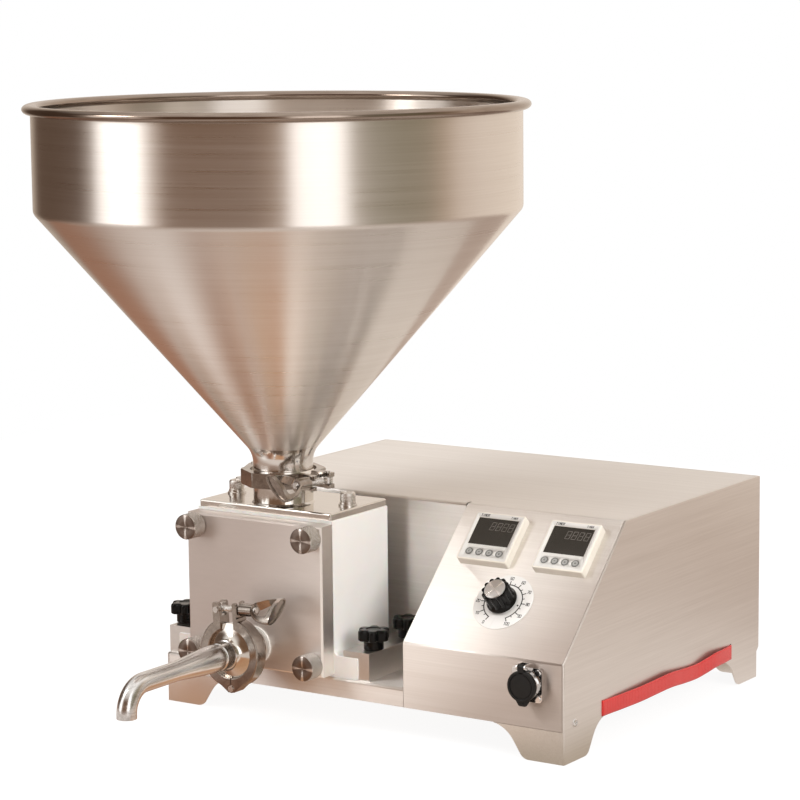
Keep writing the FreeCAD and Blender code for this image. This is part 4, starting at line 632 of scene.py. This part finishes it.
def makeCapScrew(size, place):
    washer, ring, head, socket = (size[k] for k in ("washer", "split", "head", "socket"))
    flat, split = size["washerHigh"], size["headFrom"]
    top = split + size["high"]
    points = [(0, 0), (washer, 0), (washer, flat - 0.2), (washer - 0.3, flat), (ring, flat + 0.05),
        (ring, split - 0.25), (ring - 0.3, split - 0.05), (head - 0.2, split), (head, split + 0.4)]
    points += [(head, split + 0.4 + (size["high"] - 1.6) * k / 3) for k in range(1, 4)]
    points += [(head - 0.7, top - 0.3), (head - 1.3, top), (socket + 0.5, top), (0, top)]

    def ridged(radius, height, angle):
        if abs(radius - head) > 0.01:
            return radius
        return radius - size["ridgeDeep"] * (0.5 + 0.5 * cos(size["ridges"] * angle))

    screw = makeObject("capScrew", lathe(points, 216, wobble=ridged), [capSteel, paintedSocketShade],
        at(*place, size["baseZ"]), sharp=50)
    hexagon = [(socket * cos(pi / 3 * k + 0.3), socket * sin(pi / 3 * k + 0.3)) for k in range(6)]
    cutOut(screw, [prism(hexagon, top - size["socketDeep"], top + 1)], at(*place, size["baseZ"]))
    # the socket floor gets the painted shade
    paintFaces(screw, 1, lambda c: c.z < top - size["socketDeep"] + 0.01 and c.xy.length < 3.4
        and c.z > split)
    return finish(screw, "machine", "inlet_plate_screws")


for place in capScrew["places"]:
    makeCapScrew(capScrew, place)

# ---- case screws ----
caseScrew = {"radius": 3.4, "high": 1.6, "edge": 0.35, "arm": 0.5, "reach": 2.2, "cross": 0.9,
    "places": ((0, 17.5, 31.5, -1), (400, 17.5, 31.5, 1))}


def makeCaseScrew(size, x, y, z, side):
    radius, edge, top = size["radius"], size["edge"], size["high"]
    points = [(0, 0), (radius, 0), (radius, edge)]
    for k in range(1, 9):
        angle = pi / 2 * k / 8
        points.append((radius * cos(angle), edge + (top - edge) * sin(angle)))
    points[-1] = (0, top)
    turn = Matrix.Rotation(radians(90 * side), 4, "Y")
    screw = makeObject("caseScrew", lathe(points, 48), chrome, at(x, y, z), turn, sharp=50)
    arms = ((size["reach"], size["arm"]), (size["arm"], size["reach"]))
    cross = [block((-w, w), (-h, h), (top - size["cross"], top + 1)) for w, h in arms]
    cutOut(screw, cross, at(x, y, z), turn)
    return finish(screw, "machine", "case_screws")


for place in caseScrew["places"]:
    makeCaseScrew(caseScrew, *place)
print("screws made")

# ---- clamp bolts with real threads ----
clampBolt = {"eye": 4.7, "eyeHalf": 3.0, "pin": 1.65, "rod": 3.05, "long": 38.0, "pitch": 1.25,
    "depth": 0.55, "rodFrom": 3.4, "threadFrom": 6.5, "rows": 217,
    "joints": {"hopper": ((105.0, 31.8, 204.0), 0, -101.3, (-10.25, 43.7)),
    "spout": ((105.0, -43.5, 65.0), 90, 3.7, (-10.25, 36.95))}}


def makeClampBolt(size, name):
    place, tip, turn, pivot = size["joints"][name]
    outer, half, pin, thick, end = (size[k] for k in ("eye", "eyeHalf", "pin", "rod", "long"))
    rows, low = size["rows"], size["rodFrom"]
    points = [(0, low)]
    points += [(thick, low + (end - 4.1) * k / rows) for k in range(rows + 1)]
    points += [(thick - 0.6, end), (0, end)]

    def thread(radius, height, angle):
        if radius < thick - 0.01 or height < size["threadFrom"]:
            return radius
        turnShare = (height / size["pitch"] - angle / (2 * pi)) % 1.0
        return radius - size["depth"] * abs(2 * turnShare - 1)

    verts, faces = lathe(points, 40, wobble=thread)
    rod = [(z, y, -x) for x, y, z in verts], faces
    eye = lathe([(pin, -half), (outer - 0.4, -half), (outer, -half + 0.4), (outer, half - 0.4),
        (outer - 0.4, half), (pin, half)], 48, closed=True)
    spin = Matrix.Rotation(radians(tip), 4, "X") @ Matrix.Rotation(radians(turn), 4, "Z")
    start = at(*place) + spin @ (Vector((*pivot, 0)) * 0.001)
    bolt = makeObject("clampBolt." + name, joined(eye, rod), screwSteel, start, spin, sharp=40)
    return finish(bolt, name + "_swing_bolt", name + "_clamp_bolt")


for name in clampBolt["joints"]:
    makeClampBolt(clampBolt, name)
print("clamp bolts made")


# ---- console: things set on the slope ----
slopeAngle = atan2(100, 102)
slopeTurn = Matrix.Rotation(slopeAngle, 4, "X")


def onSlope(x, s, lift=0.0):
    c, n = cos(slopeAngle), sin(slopeAngle)
    return at(x, s * c - lift * n, 82 + s * n + lift * c)


# letters on a grid 2 wide and 4 high: lines of x,y points, split by bars
letters = {"0": "0,0 2,0 2,4 0,4 0,0", "1": "0.4,3.3 1.2,4 1.2,0", "2": "0,4 2,4 2,2 0,2 0,0 2,0",
    "3": "0,4 2,4 2,0 0,0|0.4,2 2,2", "4": "0,4 0,2 2,2|2,4 2,0", "5": "2,4 0,4 0,2 2,2 2,0 0,0",
    "6": "2,4 0,4 0,0 2,0 2,2 0,2", "7": "0,4 2,4 0.7,0", "8": "0,0 2,0 2,4 0,4 0,0|0,2 2,2",
    "9": "0,0 2,0 2,4 0,4 0,2 2,2", "T": "0,4 2,4|1,4 1,0", "I": "1,4 1,0",
    "M": "0,0 0,4 1,2 2,4 2,0", "E": "2,4 0,4 0,0 2,0|0,2 1.6,2",
    "R": "0,0 0,4 2,4 2,2.2 0,2.2|0.8,2.2 2,0", "-": "0,2 2,2", "+": "0,2 2,2|1,3 1,1",
    "<": "1.6,3.4 0.4,2 1.6,0.6", "^": "0.2,1.2 1,2.8 1.8,1.2"}
strokes = {letter: [[tuple(map(float, point.split(","))) for point in line.split()]
    for line in lines.split("|")] for letter, lines in letters.items()}


def ribbon(points, width, low, high):
    # a flat line of ink as thin blocks, one for each straight run
    shapes = []
    for (ax, ay), (bx, by) in zip(points, points[1:]):
        run = Vector((bx - ax, by - ay))
        if run.length < 1e-6:
            continue
        step = run.normalized() * width / 2
        side = Vector((-step.y, step.x))
        a, b = Vector((ax, ay)) - step, Vector((bx, by)) + step
        shapes.append(prism([tuple(a - side), tuple(b - side), tuple(b + side), tuple(a + side)],
            low, high))
    return shapes


def lettering(text, x, y, height, width, low, high, slant=0.0, gap=1.0):
    # middle of the text stands at x, y
    unit = height / 4
    total = (len(text) * 2 + (len(text) - 1) * gap) * unit
    shapes = []
    for i, letter in enumerate(text):
        left = x - total / 2 + i * (2 + gap) * unit
        for line in strokes[letter]:
            points = [(left + (a + b * slant) * unit, y - height / 2 + b * unit) for a, b in line]
            shapes += ribbon(points, width, low, high)
    return shapes


# ---- timers; words: middle x and y, height, stroke ----
timer = {"centres": (288.99, 361.51), "s": 106.8, "size": 48.0, "proud": 8.0, "frame": 1.3,
    "windowWide": 38.5, "windowHigh": 27.0, "windowTop": 5.5, "keyRadius": 3.2, "keyPitch": 9.7,
    "keyEdge": 8.2, "keyMarks": ("<", "-", "^", "+"), "digitHigh": 7.6, "digitWide": 0.55,
    "words": ((-14.4, 20.7, 2.2, 0.42), (14.0, 20.6, 1.7, 0.36))}


def makeTimerFace(size, x):
    half, place = size["size"] / 2, onSlope(x, size["s"], size["proud"])
    middle = half - size["windowTop"] - size["windowHigh"] / 2
    side, keyHole = size["size"] - 2 * size["frame"], size["keyRadius"] + 0.35
    face = makeObject("timerFace", prism(rectangle(side, side, 0.6), -0.35, 0.12), faceGrey, place,
        slopeTurn)
    holes = [prism(rectangle(size["windowWide"] + 0.3, size["windowHigh"] + 0.3, 0.5, 0, middle),
        -1, 1)]
    key = lathe([(0, -1), (keyHole, -1), (keyHole, 1), (0, 1)], 48)
    for i in range(4):
        holes.append(shifted(key, ((i - 1.5) * size["keyPitch"], -half + size["keyEdge"], 0)))
    finish(cutOut(face, holes, place, slopeTurn), "machine")
    words = []
    for word in size["words"]:
        words += lettering("TIMER", *word, 0.12, 0.17, slant=0.1)
    inked("timerInk", words, printBlack, place, slopeTurn)


def makeTimerGlass(size, x):
    # the window and the unlit digits seen through it
    place = onSlope(x, size["s"], size["proud"])
    middle = size["size"] / 2 - size["windowTop"] - size["windowHigh"] / 2
    pane = prism(rectangle(size["windowWide"], size["windowHigh"], 0.4, 0, middle), -1.5, -0.35)
    glass = makeObject("timerWindow", pane, windowBlack, place, slopeTurn)
    finish(softEdges(glass, 0.15), "machine", "timer_windows")
    digits = lettering("8888", 5.6, middle + 5.8, size["digitHigh"], size["digitWide"], -0.36,
        -0.33, slant=0.12, gap=1.1)
    inked("timerDigits", digits, digitDim, place, slopeTurn)


def makeTimerKey(size, side, index):
    x = size["centres"][0 if side == "left" else 1] + (index - 1.5) * size["keyPitch"]
    r = size["keyRadius"]
    points = roundedLine([(0, -2.4), (r, -2.4), (r, 0.5, 0.25), (r - 0.65, 0.5, 0.15),
        (r - 0.8, 0.22, 0.1), (0, 0.26)], stepAngle=20)
    mark = lettering(size["keyMarks"][index], 0, 0, 2.2, 0.42, 0.24, 0.32)
    place = onSlope(x, size["s"] - size["size"] / 2 + size["keyEdge"], size["proud"])
    obj = makeObject("timerKey.%s%d" % (side, index + 1), joined(lathe(points, 64), *mark),
        [keyGrey, keyFace, printBlack], place, slopeTurn, sharp=40)
    paintFaces(obj, 1, lambda c: c.xy.length < r - 0.85 and c.z > 0.2)
    paintFaces(obj, 2, lambda c: c.z > 0.262 and c.xy.length < r - 1.0)
    return finish(obj, "key_%s_%d" % (side, index + 1), "timer_button_%s_%d" % (side, index + 1))


for make in (makeTimerFace, makeTimerGlass):
    for x in timer["centres"]:
        make(timer, x)
for side in ("left", "right"):
    for index in range(4):
        makeTimerKey(timer, side, index)
print("timers made")

# ---- speed dial ----
dial = {"x": 322.0, "s": 50.4, "plate": 0.8, "zero": 245.0, "sweep": 304.5, "arc": 17.0,
    "long": 3.2, "short": 1.7, "digits": 23.2, "digitHigh": 2.6, "knobLift": 3.2, "skirt": 13.2,
    "grip": 12.0, "high": 18.5, "cap": 9.2, "flutes": 12, "setting": 33.0, "dotAngle": -6.4,
    "dotReach": 14.6, "line": 0.9}


def spoke(angle, radius):
    return (radius * cos(radians(angle)), radius * sin(radians(angle)))


def makeDialPrint(size):
    low, high = size["plate"], size["plate"] + 0.06
    steps = 90
    arc = [spoke(size["zero"] - size["sweep"] * k / steps, size["arc"]) for k in range(steps + 1)]
    ink = ribbon(arc, 0.9, low, high)
    for k in range(21):
        angle = size["zero"] - size["sweep"] * k / 20
        reach = size["arc"] + (size["long"] if k % 2 == 0 else size["short"])
        ink += ribbon([spoke(angle, size["arc"]), spoke(angle, reach)], 0.8 if k % 2 == 0 else 0.65,
            low, high)
        if k % 2 == 0:
            x, y = spoke(angle, size["digits"])
            ink += lettering(str(k * 5), x, y, size["digitHigh"], 0.42, low, high, gap=0.8)
    dot = spoke(size["dotAngle"], size["dotReach"])
    ink.append(shifted(lathe([(0, low), (0.75, low), (0.75, high + 0.1), (0, high + 0.1)], 20),
        (*dot, 0)))
    inked("dialInk", ink, printBlack, onSlope(size["x"], size["s"]), slopeTurn)


def makeSpeedKnob(size):
    base, top = size["knobLift"], size["high"] + size["plate"]
    skirt, grip, rim = size["skirt"], size["grip"], size["cap"]
    points = roundedLine([(0, base), (skirt, base, 0.3), (skirt, base + 1.4, 0.5),
        (grip + 0.25, base + 3.0, 1.2)], stepAngle=15)
    rows = 10
    points += [(grip, base + 3.6 + (top - 1.2 - base - 3.6) * k / rows) for k in range(rows + 1)]
    points += roundedLine([(grip, top - 1.1), (grip - 0.1, top - 0.2, 0.4), (grip - 1.0, top, 0.4),
        (rim + 0.3, top), (rim + 0.2, top - 0.5), (0, top - 0.5)], stepAngle=20)[1:]

    def fluted(radius, height, angle):
        if height < base + 3.2 or radius < rim + 1.0:
            return radius
        share = min(1.0, (height - base - 3.2) / 1.5)
        wave = 0.5 + 0.5 * cos(size["flutes"] * angle)
        return radius - 1.7 * share * wave ** 1.4

    angle = size["zero"] - size["sweep"] * size["setting"] / 100
    turn = slopeTurn @ Matrix.Rotation(radians(angle), 4, "Z")
    place = onSlope(size["x"], size["s"])
    knob = makeObject("speedKnob", lathe(points, 240, wobble=fluted), knobBlack, place, turn,
        sharp=48)
    finish(knob, "speed_dial", "speed_knob")
    disc = roundedLine([(0, top - 0.6), (rim, top - 0.6), (rim, top + 0.35, 0.3),
        (rim - 0.6, top + 0.75, 0.3), (0, top + 0.7)], stepAngle=15)
    finish(makeObject("knobCap", lathe(disc, 96), capSilver, place, turn, sharp=50), "speed_dial")
    half = size["line"] / 2
    line = [block((rim + 0.2, grip + 0.02), (-half, half), (top - 0.4, top + 0.05)),
        block((grip - 0.5, grip + 0.1), (-half, half), (base + 3.0, top)),
        block((grip - 0.6, skirt + 0.05), (-half - 0.05, half + 0.05), (base + 0.4, base + 3.05))]
    inked("knobPointer", line, printWhite, place, turn, "speed_dial")


makeDialPrint(dial)
makeSpeedKnob(dial)
print("speed dial made")

# ---- spout: dished flange, neck, swelling tube and a bend straight down ----
spout = {"x": 105.0, "y": -43.5, "z": 65.0, "bendStart": 120.0, "bend": 22.0, "drop": 3.0,
    "wall": 1.2, "end": 8.2, "bore": 6.9, "rootBore": 9.0, "rootTo": 14, "dishTo": 11.4,
    "shape": ((1.0, 24.6), (1.0, 25.25), (2.8, 25.25), (4.3, 21.2), (5.6, 18.4), (7.2, 15.9),
    (8.7, 14.0), (10.2, 12.9), (11.4, 12.5), (11.9, 11.7), (20.6, 11.5), (21.6, 11.6), (22.2, 11.1),
    (22.8, 10.9), (23.4, 11.2), (25.4, 11.4), (28.0, 11.6), (33.0, 11.45), (39.0, 11.25),
    (46.0, 10.85), (58.0, 9.85), (70.0, 8.8), (76.0, 8.4), (82.0, 8.2), (90.0, 8.2), (105.0, 8.2))}


def makeSpout(size):
    stations = [(h, r, 0.0) for h, r in size["shape"]]
    stations += [(size["bendStart"], size["end"], radians(5 * k)) for k in range(19)]
    # the last station, marked -1, is the straight drop after the bend
    stations.append((size["bendStart"], size["end"], -1.0))
    inside = []
    for h, r, t in stations[2:]:
        bore = max(r - size["wall"], size["bore"]) if h > size["rootTo"] else size["rootBore"]
        inside.append((h, bore, t))
    verts, faces, steps = [], [], 64
    rings = stations + inside[::-1]
    for h, r, t in rings:
        turn = pi / 2 if t < 0 else t
        ahead = size["y"] - h - size["bend"] * sin(turn)
        high = size["z"] - size["bend"] * (1 - cos(turn)) - (size["drop"] if t < 0 else 0)
        for k in range(steps):
            angle = 2 * pi * k / steps
            out = r * sin(angle)
            verts.append((size["x"] + r * cos(angle), ahead - out * sin(turn),
                high + out * cos(turn)))
    count = len(rings)
    for i in range(count):
        for k in range(steps):
            n = (k + 1) % steps
            a, b = i * steps, ((i + 1) % count) * steps
            faces.append((a + k, a + n, b + n, b + k))
    tube = makeObject("bentSpout", (verts, faces), [spoutSteel, plateSteel], sharp=35)
    paintFaces(tube, 1, lambda c: c.y > size["y"] - size["dishTo"])
    return finish(tube, "machine", "spout")


makeSpout(spout)
print("spout made")

# ---- flip cap of the pedal socket ----
socketCap = {"x": 368.0, "inner": -9.3, "z": 63.4, "radius": 12.8, "thick": 4.6, "face": 10.3,
    "pivotRise": 15.6, "lugHalf": 2.5, "lug": 2.3, "tabWide": 13.4, "tabEnd": 6.4, "tabReach": 16.6,
    "tabThick": 2.0, "dot": 14.2}


def makeSocketCap(size):
    radius, thick, face = size["radius"], size["thick"], size["face"]
    disc = lathe(roundedLine([(0, 0), (radius - 0.5, 0, 0.3), (radius, 0.5, 0.3),
        (radius, thick - 0.1, 1.2), (radius - 1.2, thick, 0.5), (face + 0.3, thick, 0.3),
        (face + 0.1, thick - 1.0, 0.2), (face - 0.5, thick - 1.0, 0.2),
        (face - 0.7, thick - 0.6, 0.2), (0, thick - 0.55)], stepAngle=15), 128)
    wide, tip, reach = size["tabWide"] / 2, size["tabEnd"] / 2, size["tabReach"]
    tab = prism(roundedLine([(-wide, -radius + 2.6), (-wide, -radius + 1.6), (-tip, -reach, 2.0),
        (tip, -reach, 2.0), (wide, -radius + 1.6), (wide, -radius + 2.6)]), 0.2, size["tabThick"])
    dot = shifted(lathe(roundedLine([(0, 0), (0.9, 0), (0.9, 0.5, 0.4), (0, 0.6)], stepAngle=30),
        20), (0.4, -size["dot"], size["tabThick"]))
    rise, lug = size["pivotRise"], size["lug"]
    barrel = [(lug * cos(radians(a)) + thick / 2, rise + lug * sin(radians(a)))
        for a in range(0, 360, 15)]
    hinge = prism(barrel, -size["lugHalf"], size["lugHalf"])
    neck = block((thick / 2 - lug, thick / 2 + lug), (rise, radius - 2),
        (-size["lugHalf"], size["lugHalf"]))
    arm = [([(z, y, x) for x, y, z in verts], faces) for verts, faces in (hinge, neck)]
    cap = makeObject("socketCap", joined(disc, tab, dot, *arm), capBlack,
        at(size["x"], size["inner"], size["z"]), facingFront, sharp=35)
    softEdges(cap, 0.3, 2, 40)
    return finish(cap, "pedal_socket_lid", "socket_cap")


makeSocketCap(socketCap)
print("socket cap made")

# ---- carry straps: ribbed webbing that hangs in waves ----
# waves: distance behind the front, height of the middle, bulge away from the side
strap = {"width": 13.0, "thick": 1.5, "middle": 33.3, "right": 400, "steps": 380, "ribDeep": 0.22,
    "hem": 0.45, "front": 62.0, "rear": 290.0, "tuck": 11.0, "ribPitch": 2.4,
    "waves": ((62, 33.3, 0.6), (90, 33.1, 2.2), (121, 32.9, 3.4), (150, 33.4, 3.8),
    (173, 33.6, 4.1), (198, 31.6, 3.0), (222, 30.4, 2.4), (240, 32.2, 3.6), (255, 33.9, 4.2),
    (272, 33.4, 2.8), (290, 33.0, 0.6))}


def smoothValue(table, t, column):
    for i, (low, high) in enumerate(zip(table, table[1:])):
        if t <= high[0]:
            av, bv = low[column], high[column]
            before = table[max(0, i - 1)][column]
            after = table[min(len(table) - 1, i + 2)][column]
            u = (t - low[0]) / (high[0] - low[0])
            bend = 2 * before - 5 * av + 4 * bv - after + u * (3 * (av - bv) + after - before)
            return av + 0.5 * u * (bv - before + u * bend)
    return table[-1][column]


def makeStrap(size, side):
    base = size["right"] if side > 0 else 0
    verts, faces, half, steps = [], [], size["width"] / 2, size["steps"]
    stations = [(-size["tuck"] + 1.2 * k, size["front"], 0.0) for k in range(9)]
    for k in range(steps + 1):
        y = size["front"] + (size["rear"] - size["front"]) * k / steps
        lift = smoothValue(size["waves"], y, 1) - size["middle"]
        stations.append((smoothValue(size["waves"], y, 2), y, lift))
    stations += [(-1.2 * k - 0.4, size["rear"], -0.3) for k in range(9)]
    across = [(a, size["thick"] / 2 - (size["hem"] if abs(a) == 1 else 0.0))
        for a in (-1, -0.94, -0.6, -0.2, 0.2, 0.6, 0.94, 1)]
    for i, (out, y, lift) in enumerate(stations):
        before, after = stations[max(0, i - 1)], stations[min(len(stations) - 1, i + 1)]
        run = Vector((after[0] - before[0], after[1] - before[1])).normalized()
        normal = Vector((run.y, -run.x))
        rib = 0.5 + 0.5 * cos(2 * pi * y / size["ribPitch"])
        ring = []
        for a, thick in across:
            thick -= size["ribDeep"] * rib
            ring.append((out + normal.x * thick, y + normal.y * thick, a * half))
        for a, thick in reversed(across):
            ring.append((out - normal.x * thick, y - normal.y * thick, a * half))
        start = len(verts)
        for px, py, pz in ring:
            verts.append((base + side * px, py, size["middle"] + lift + pz))
        if i:
            count = len(ring)
            for k in range(count):
                n = (k + 1) % count
                faces.append((start - count + k, start - count + n, start + n, start + k))
    count = 2 * len(across)
    faces.append(tuple(range(count)))
    faces.append(tuple(range(len(verts) - count, len(verts))))
    webbed = makeObject("carryStrap", (verts, faces), webbingRed, sharp=80)
    return finish(webbed, "machine", "carry_straps")


for side in (-1, 1):
    makeStrap(strap, side)
print("straps made")

# ---- small rounded edges on the sheets and plates ----
edgeWidths = {
    0.15: "dial_plate",
    0.3: "console_wall shelf_plate pedal_socket power_inlet rocker_switch",
    0.35: "side_panel_left side_panel_right top_cover hopper_clamp spout_clamp",
    0.4: "clamp_bars hopper_wing_nut spout_wing_nut",
    0.5: "pump_body inlet_plate timer_housings"}
for width, nodes in edgeWidths.items():
    for node in nodes.split():
        weld = cad[node].modifiers.new("joinPoints", "WELD")
        weld.merge_threshold = 0.000002
        softEdges(cad[node], width, 3)
print("edges rounded")

# ---- floor, lights and the room that the steel reflects ----
# the table's glow, unseen by the camera, is painted light and shade: near, pale, far and brown
# tints and a bright pool of painted light
studio = {"floorSize": 2.44, "floorLit": 0.16, "hopper": (-0.0435, -0.0451),
    "near": (-0.07, 0.03, 0.0), "nearTo": 0.34, "farFrom": 0.38, "pale": (0.76, 0.675, 0.615),
    "far": (0.46, 0.355, 0.295), "palePlace": (0.22, -0.20, 0.0), "paleTo": 0.42, "paleEnd": 0.90,
    "pool": (0.98, 0.92, 0.88), "poolPlace": (-0.27, -0.26, 0.0), "poolReach": 0.15,
    "brown": (0.36, 0.19, 0.125), "brownPlace": (-0.80, 0.20, 0.0), "brownFrom": 0.25,
    "brownReach": 0.62, "paper": 1.08, "lit": (0.95, 0.95, 0.95), "below": 0.0004}
# painted light and shade that the table glows with round the hopper, brightest where a softbox's
# light falls, by compass angle: (angle, red, green, blue)
paintedTableLight = ((-180, 0.34, 0.21, 0.145), (-150, 0.42, 0.235, 0.14), (-118, 0.30, 0.145, 0.085),
    (-107, 0.36, 0.19, 0.12), (-98, 0.62, 0.42, 0.31), (-91, 0.64, 0.41, 0.28),
    (-77, 0.56, 0.33, 0.19), (-60, 0.54, 0.28, 0.155), (-53, 0.60, 0.36, 0.22),
    (-48, 0.78, 0.59, 0.48), (-43, 0.98, 0.83, 0.71), (-36, 0.88, 0.72, 0.61),
    (-28, 0.62, 0.50, 0.41), (-10, 0.45, 0.37, 0.29), (60, 0.45, 0.37, 0.29),
    (180, 0.30, 0.24, 0.19))


def compassRamp(tree, along, up, stops):
    share = mapped(tree, calc(tree, "ARCTAN2", up, along), -pi, pi)
    ramp = addNode(tree, "ValToRGB", inputs={0: share})
    elements = ramp.color_ramp.elements
    while len(elements) < len(stops):
        elements.new(0.5)
    for element, (angle, red, green, blue) in zip(elements, stops):
        element.position = (angle + 180) / 360
        element.color = (red, green, blue, 1)
    return ramp.outputs[0]


def within(tree, place, centre, inner, outer):
    # 0 nearer than inner, 1 farther than outer
    spread = addNode(tree, "VectorMath", {"operation": "DISTANCE"}, {0: place, 1: centre})
    return mapped(tree, spread.outputs["Value"], inner, outer, way="SMOOTHSTEP")


def seenDirectly(tree, other, straight, kind):
    # straight to the camera, other to the steel and the light
    seen = addNode(tree, "LightPath").outputs["Is Camera Ray"]
    mix = addNode(tree, "MixShader", inputs={0: seen, 1: other.outputs[0], 2: straight.outputs[0]})
    addNode(tree, kind, inputs={0: mix.outputs[0]})


def makeFloor(size):
    # white to the camera; to the steel and the light, the table glows with painted light and shade
    material = bpy.data.materials.new("tableTop")
    tree = emptyTree(material)
    place = addNode(tree, "TexCoord").outputs["Object"]
    aside = addNode(tree, "VectorMath", {"operation": "SUBTRACT"},
        {0: place, 1: (*size["hopper"], 0)})
    x, y = splitAxes(tree, aside.outputs[0])[:2]
    near = compassRamp(tree, x, y, paintedTableLight)
    beyond = mixColours(tree, within(tree, place, size["palePlace"], size["paleTo"],
        size["paleEnd"]), size["pale"], size["far"])
    beyond = mixColours(tree, within(tree, place, size["brownPlace"], size["brownFrom"],
        size["brownReach"]), size["brown"], beyond)
    away = within(tree, place, size["near"], size["nearTo"], size["farFrom"])
    # a bright pool of painted light on the table
    pool = mixColours(tree, within(tree, place, size["poolPlace"], 0.0, size["poolReach"]),
        size["pool"], mixColours(tree, away, near, beyond))
    table = addNode(tree, "Emission", inputs={"Color": pool})
    paper = addNode(tree, "Emission", inputs={"Color": (1, 1, 1, 1), "Strength": size["paper"]})
    lit = addNode(tree, "BsdfDiffuse", inputs={"Color": (*size["lit"], 1)})
    pale = addNode(tree, "MixShader",
        inputs={0: size["floorLit"], 1: paper.outputs[0], 2: lit.outputs[0]})
    seenDirectly(tree, table, pale, "OutputMaterial")
    half = size["floorSize"] * 500
    floor = makeObject("studioFloor",
        ([(-half, -half, 0), (half, -half, 0), (half, half, 0), (-half, half, 0)], [(0, 1, 2, 3)]),
        material, Vector((0, 0, -size["below"])))


# bright panels between darker warm walls, by compass angle: (angle, red, green, blue)
room = ((-180, 0.120, 0.078, 0.055), (-158, 0.125, 0.082, 0.060), (-149, 0.42, 0.35, 0.30),
    (-144, 1.65, 1.61, 1.57), (-121, 1.65, 1.61, 1.57), (-114, 0.62, 0.50, 0.42),
    (-107, 0.185, 0.104, 0.062), (-66, 0.185, 0.104, 0.062), (-58, 0.26, 0.16, 0.10),
    (-51, 0.45, 0.33, 0.25), (-46, 1.95, 1.91, 1.87), (-26, 1.95, 1.91, 1.87),
    (-19, 0.52, 0.46, 0.39), (-10, 0.34, 0.305, 0.235), (5, 0.27, 0.237, 0.165),
    (19, 0.30, 0.255, 0.18), (29, 0.50, 0.39, 0.29), (39, 0.78, 0.66, 0.56), (52, 0.88, 0.77, 0.67),
    (95, 0.88, 0.77, 0.66), (126, 0.86, 0.76, 0.67), (143, 0.52, 0.43, 0.35),
    (157, 0.120, 0.078, 0.055), (180, 0.120, 0.078, 0.055))
ceiling = {"colour": (1.0, 0.95, 0.90), "starts": 0.45, "full": 0.85, "strength": 1.0}


def makeWorld(ceiling, walls):
    world = bpy.data.worlds.new("studio")
    tree = emptyTree(world)
    x, y, z = splitAxes(tree, addNode(tree, "TexCoord").outputs["Generated"])
    height = mapped(tree, z, ceiling["starts"], ceiling["full"], way="SMOOTHSTEP")
    around = compassRamp(tree, x, y, walls)
    light = addNode(tree, "Background", inputs={"Strength": ceiling["strength"],
        "Color": mixColours(tree, height, around, ceiling["colour"])})
    plain = addNode(tree, "Background", inputs={"Color": (1, 1, 1, 1), "Strength": 1.0})
    seenDirectly(tree, light, plain, "OutputWorld")
    bpy.context.scene.world = world


def areaLight(name, place, target, size, power, colour, mirrored):
    light = bpy.data.lights.new(name, "AREA")
    light.shape = "RECTANGLE"
    light.size, light.size_y = size
    light.energy = power
    light.color = colour
    obj = bpy.data.objects.new(name, light)
    bpy.context.scene.collection.objects.link(obj)
    obj.location = place
    obj.rotation_euler = (Vector(target) - Vector(place)).to_track_quat("-Z", "Y").to_euler()
    obj.visible_glossy = mirrored


# name: place, target, size, power, colour, mirrored by the steel
softboxes = {
    "topSoftbox": ((-0.6, -0.9, 2.2), (0, 0, 0.2), (1.4, 1.2), 24, (1.0, 0.98, 0.96), False),
    "rightSoftbox": ((2.0, -0.7, 1.0), (0.1, 0, 0.15), (0.8, 1.2), 26, (1.0, 0.985, 0.97), False),
    "slopeSoftbox": ((-0.548, -0.75, 0.83), (0.11, -0.03, 0.13), (0.24, 0.24), 1.75,
        (1.0, 0.975, 0.95), True)}
makeFloor(studio)
makeWorld(ceiling, room)
for name, setup in softboxes.items():
    areaLight(name, *setup)
print("studio ready")
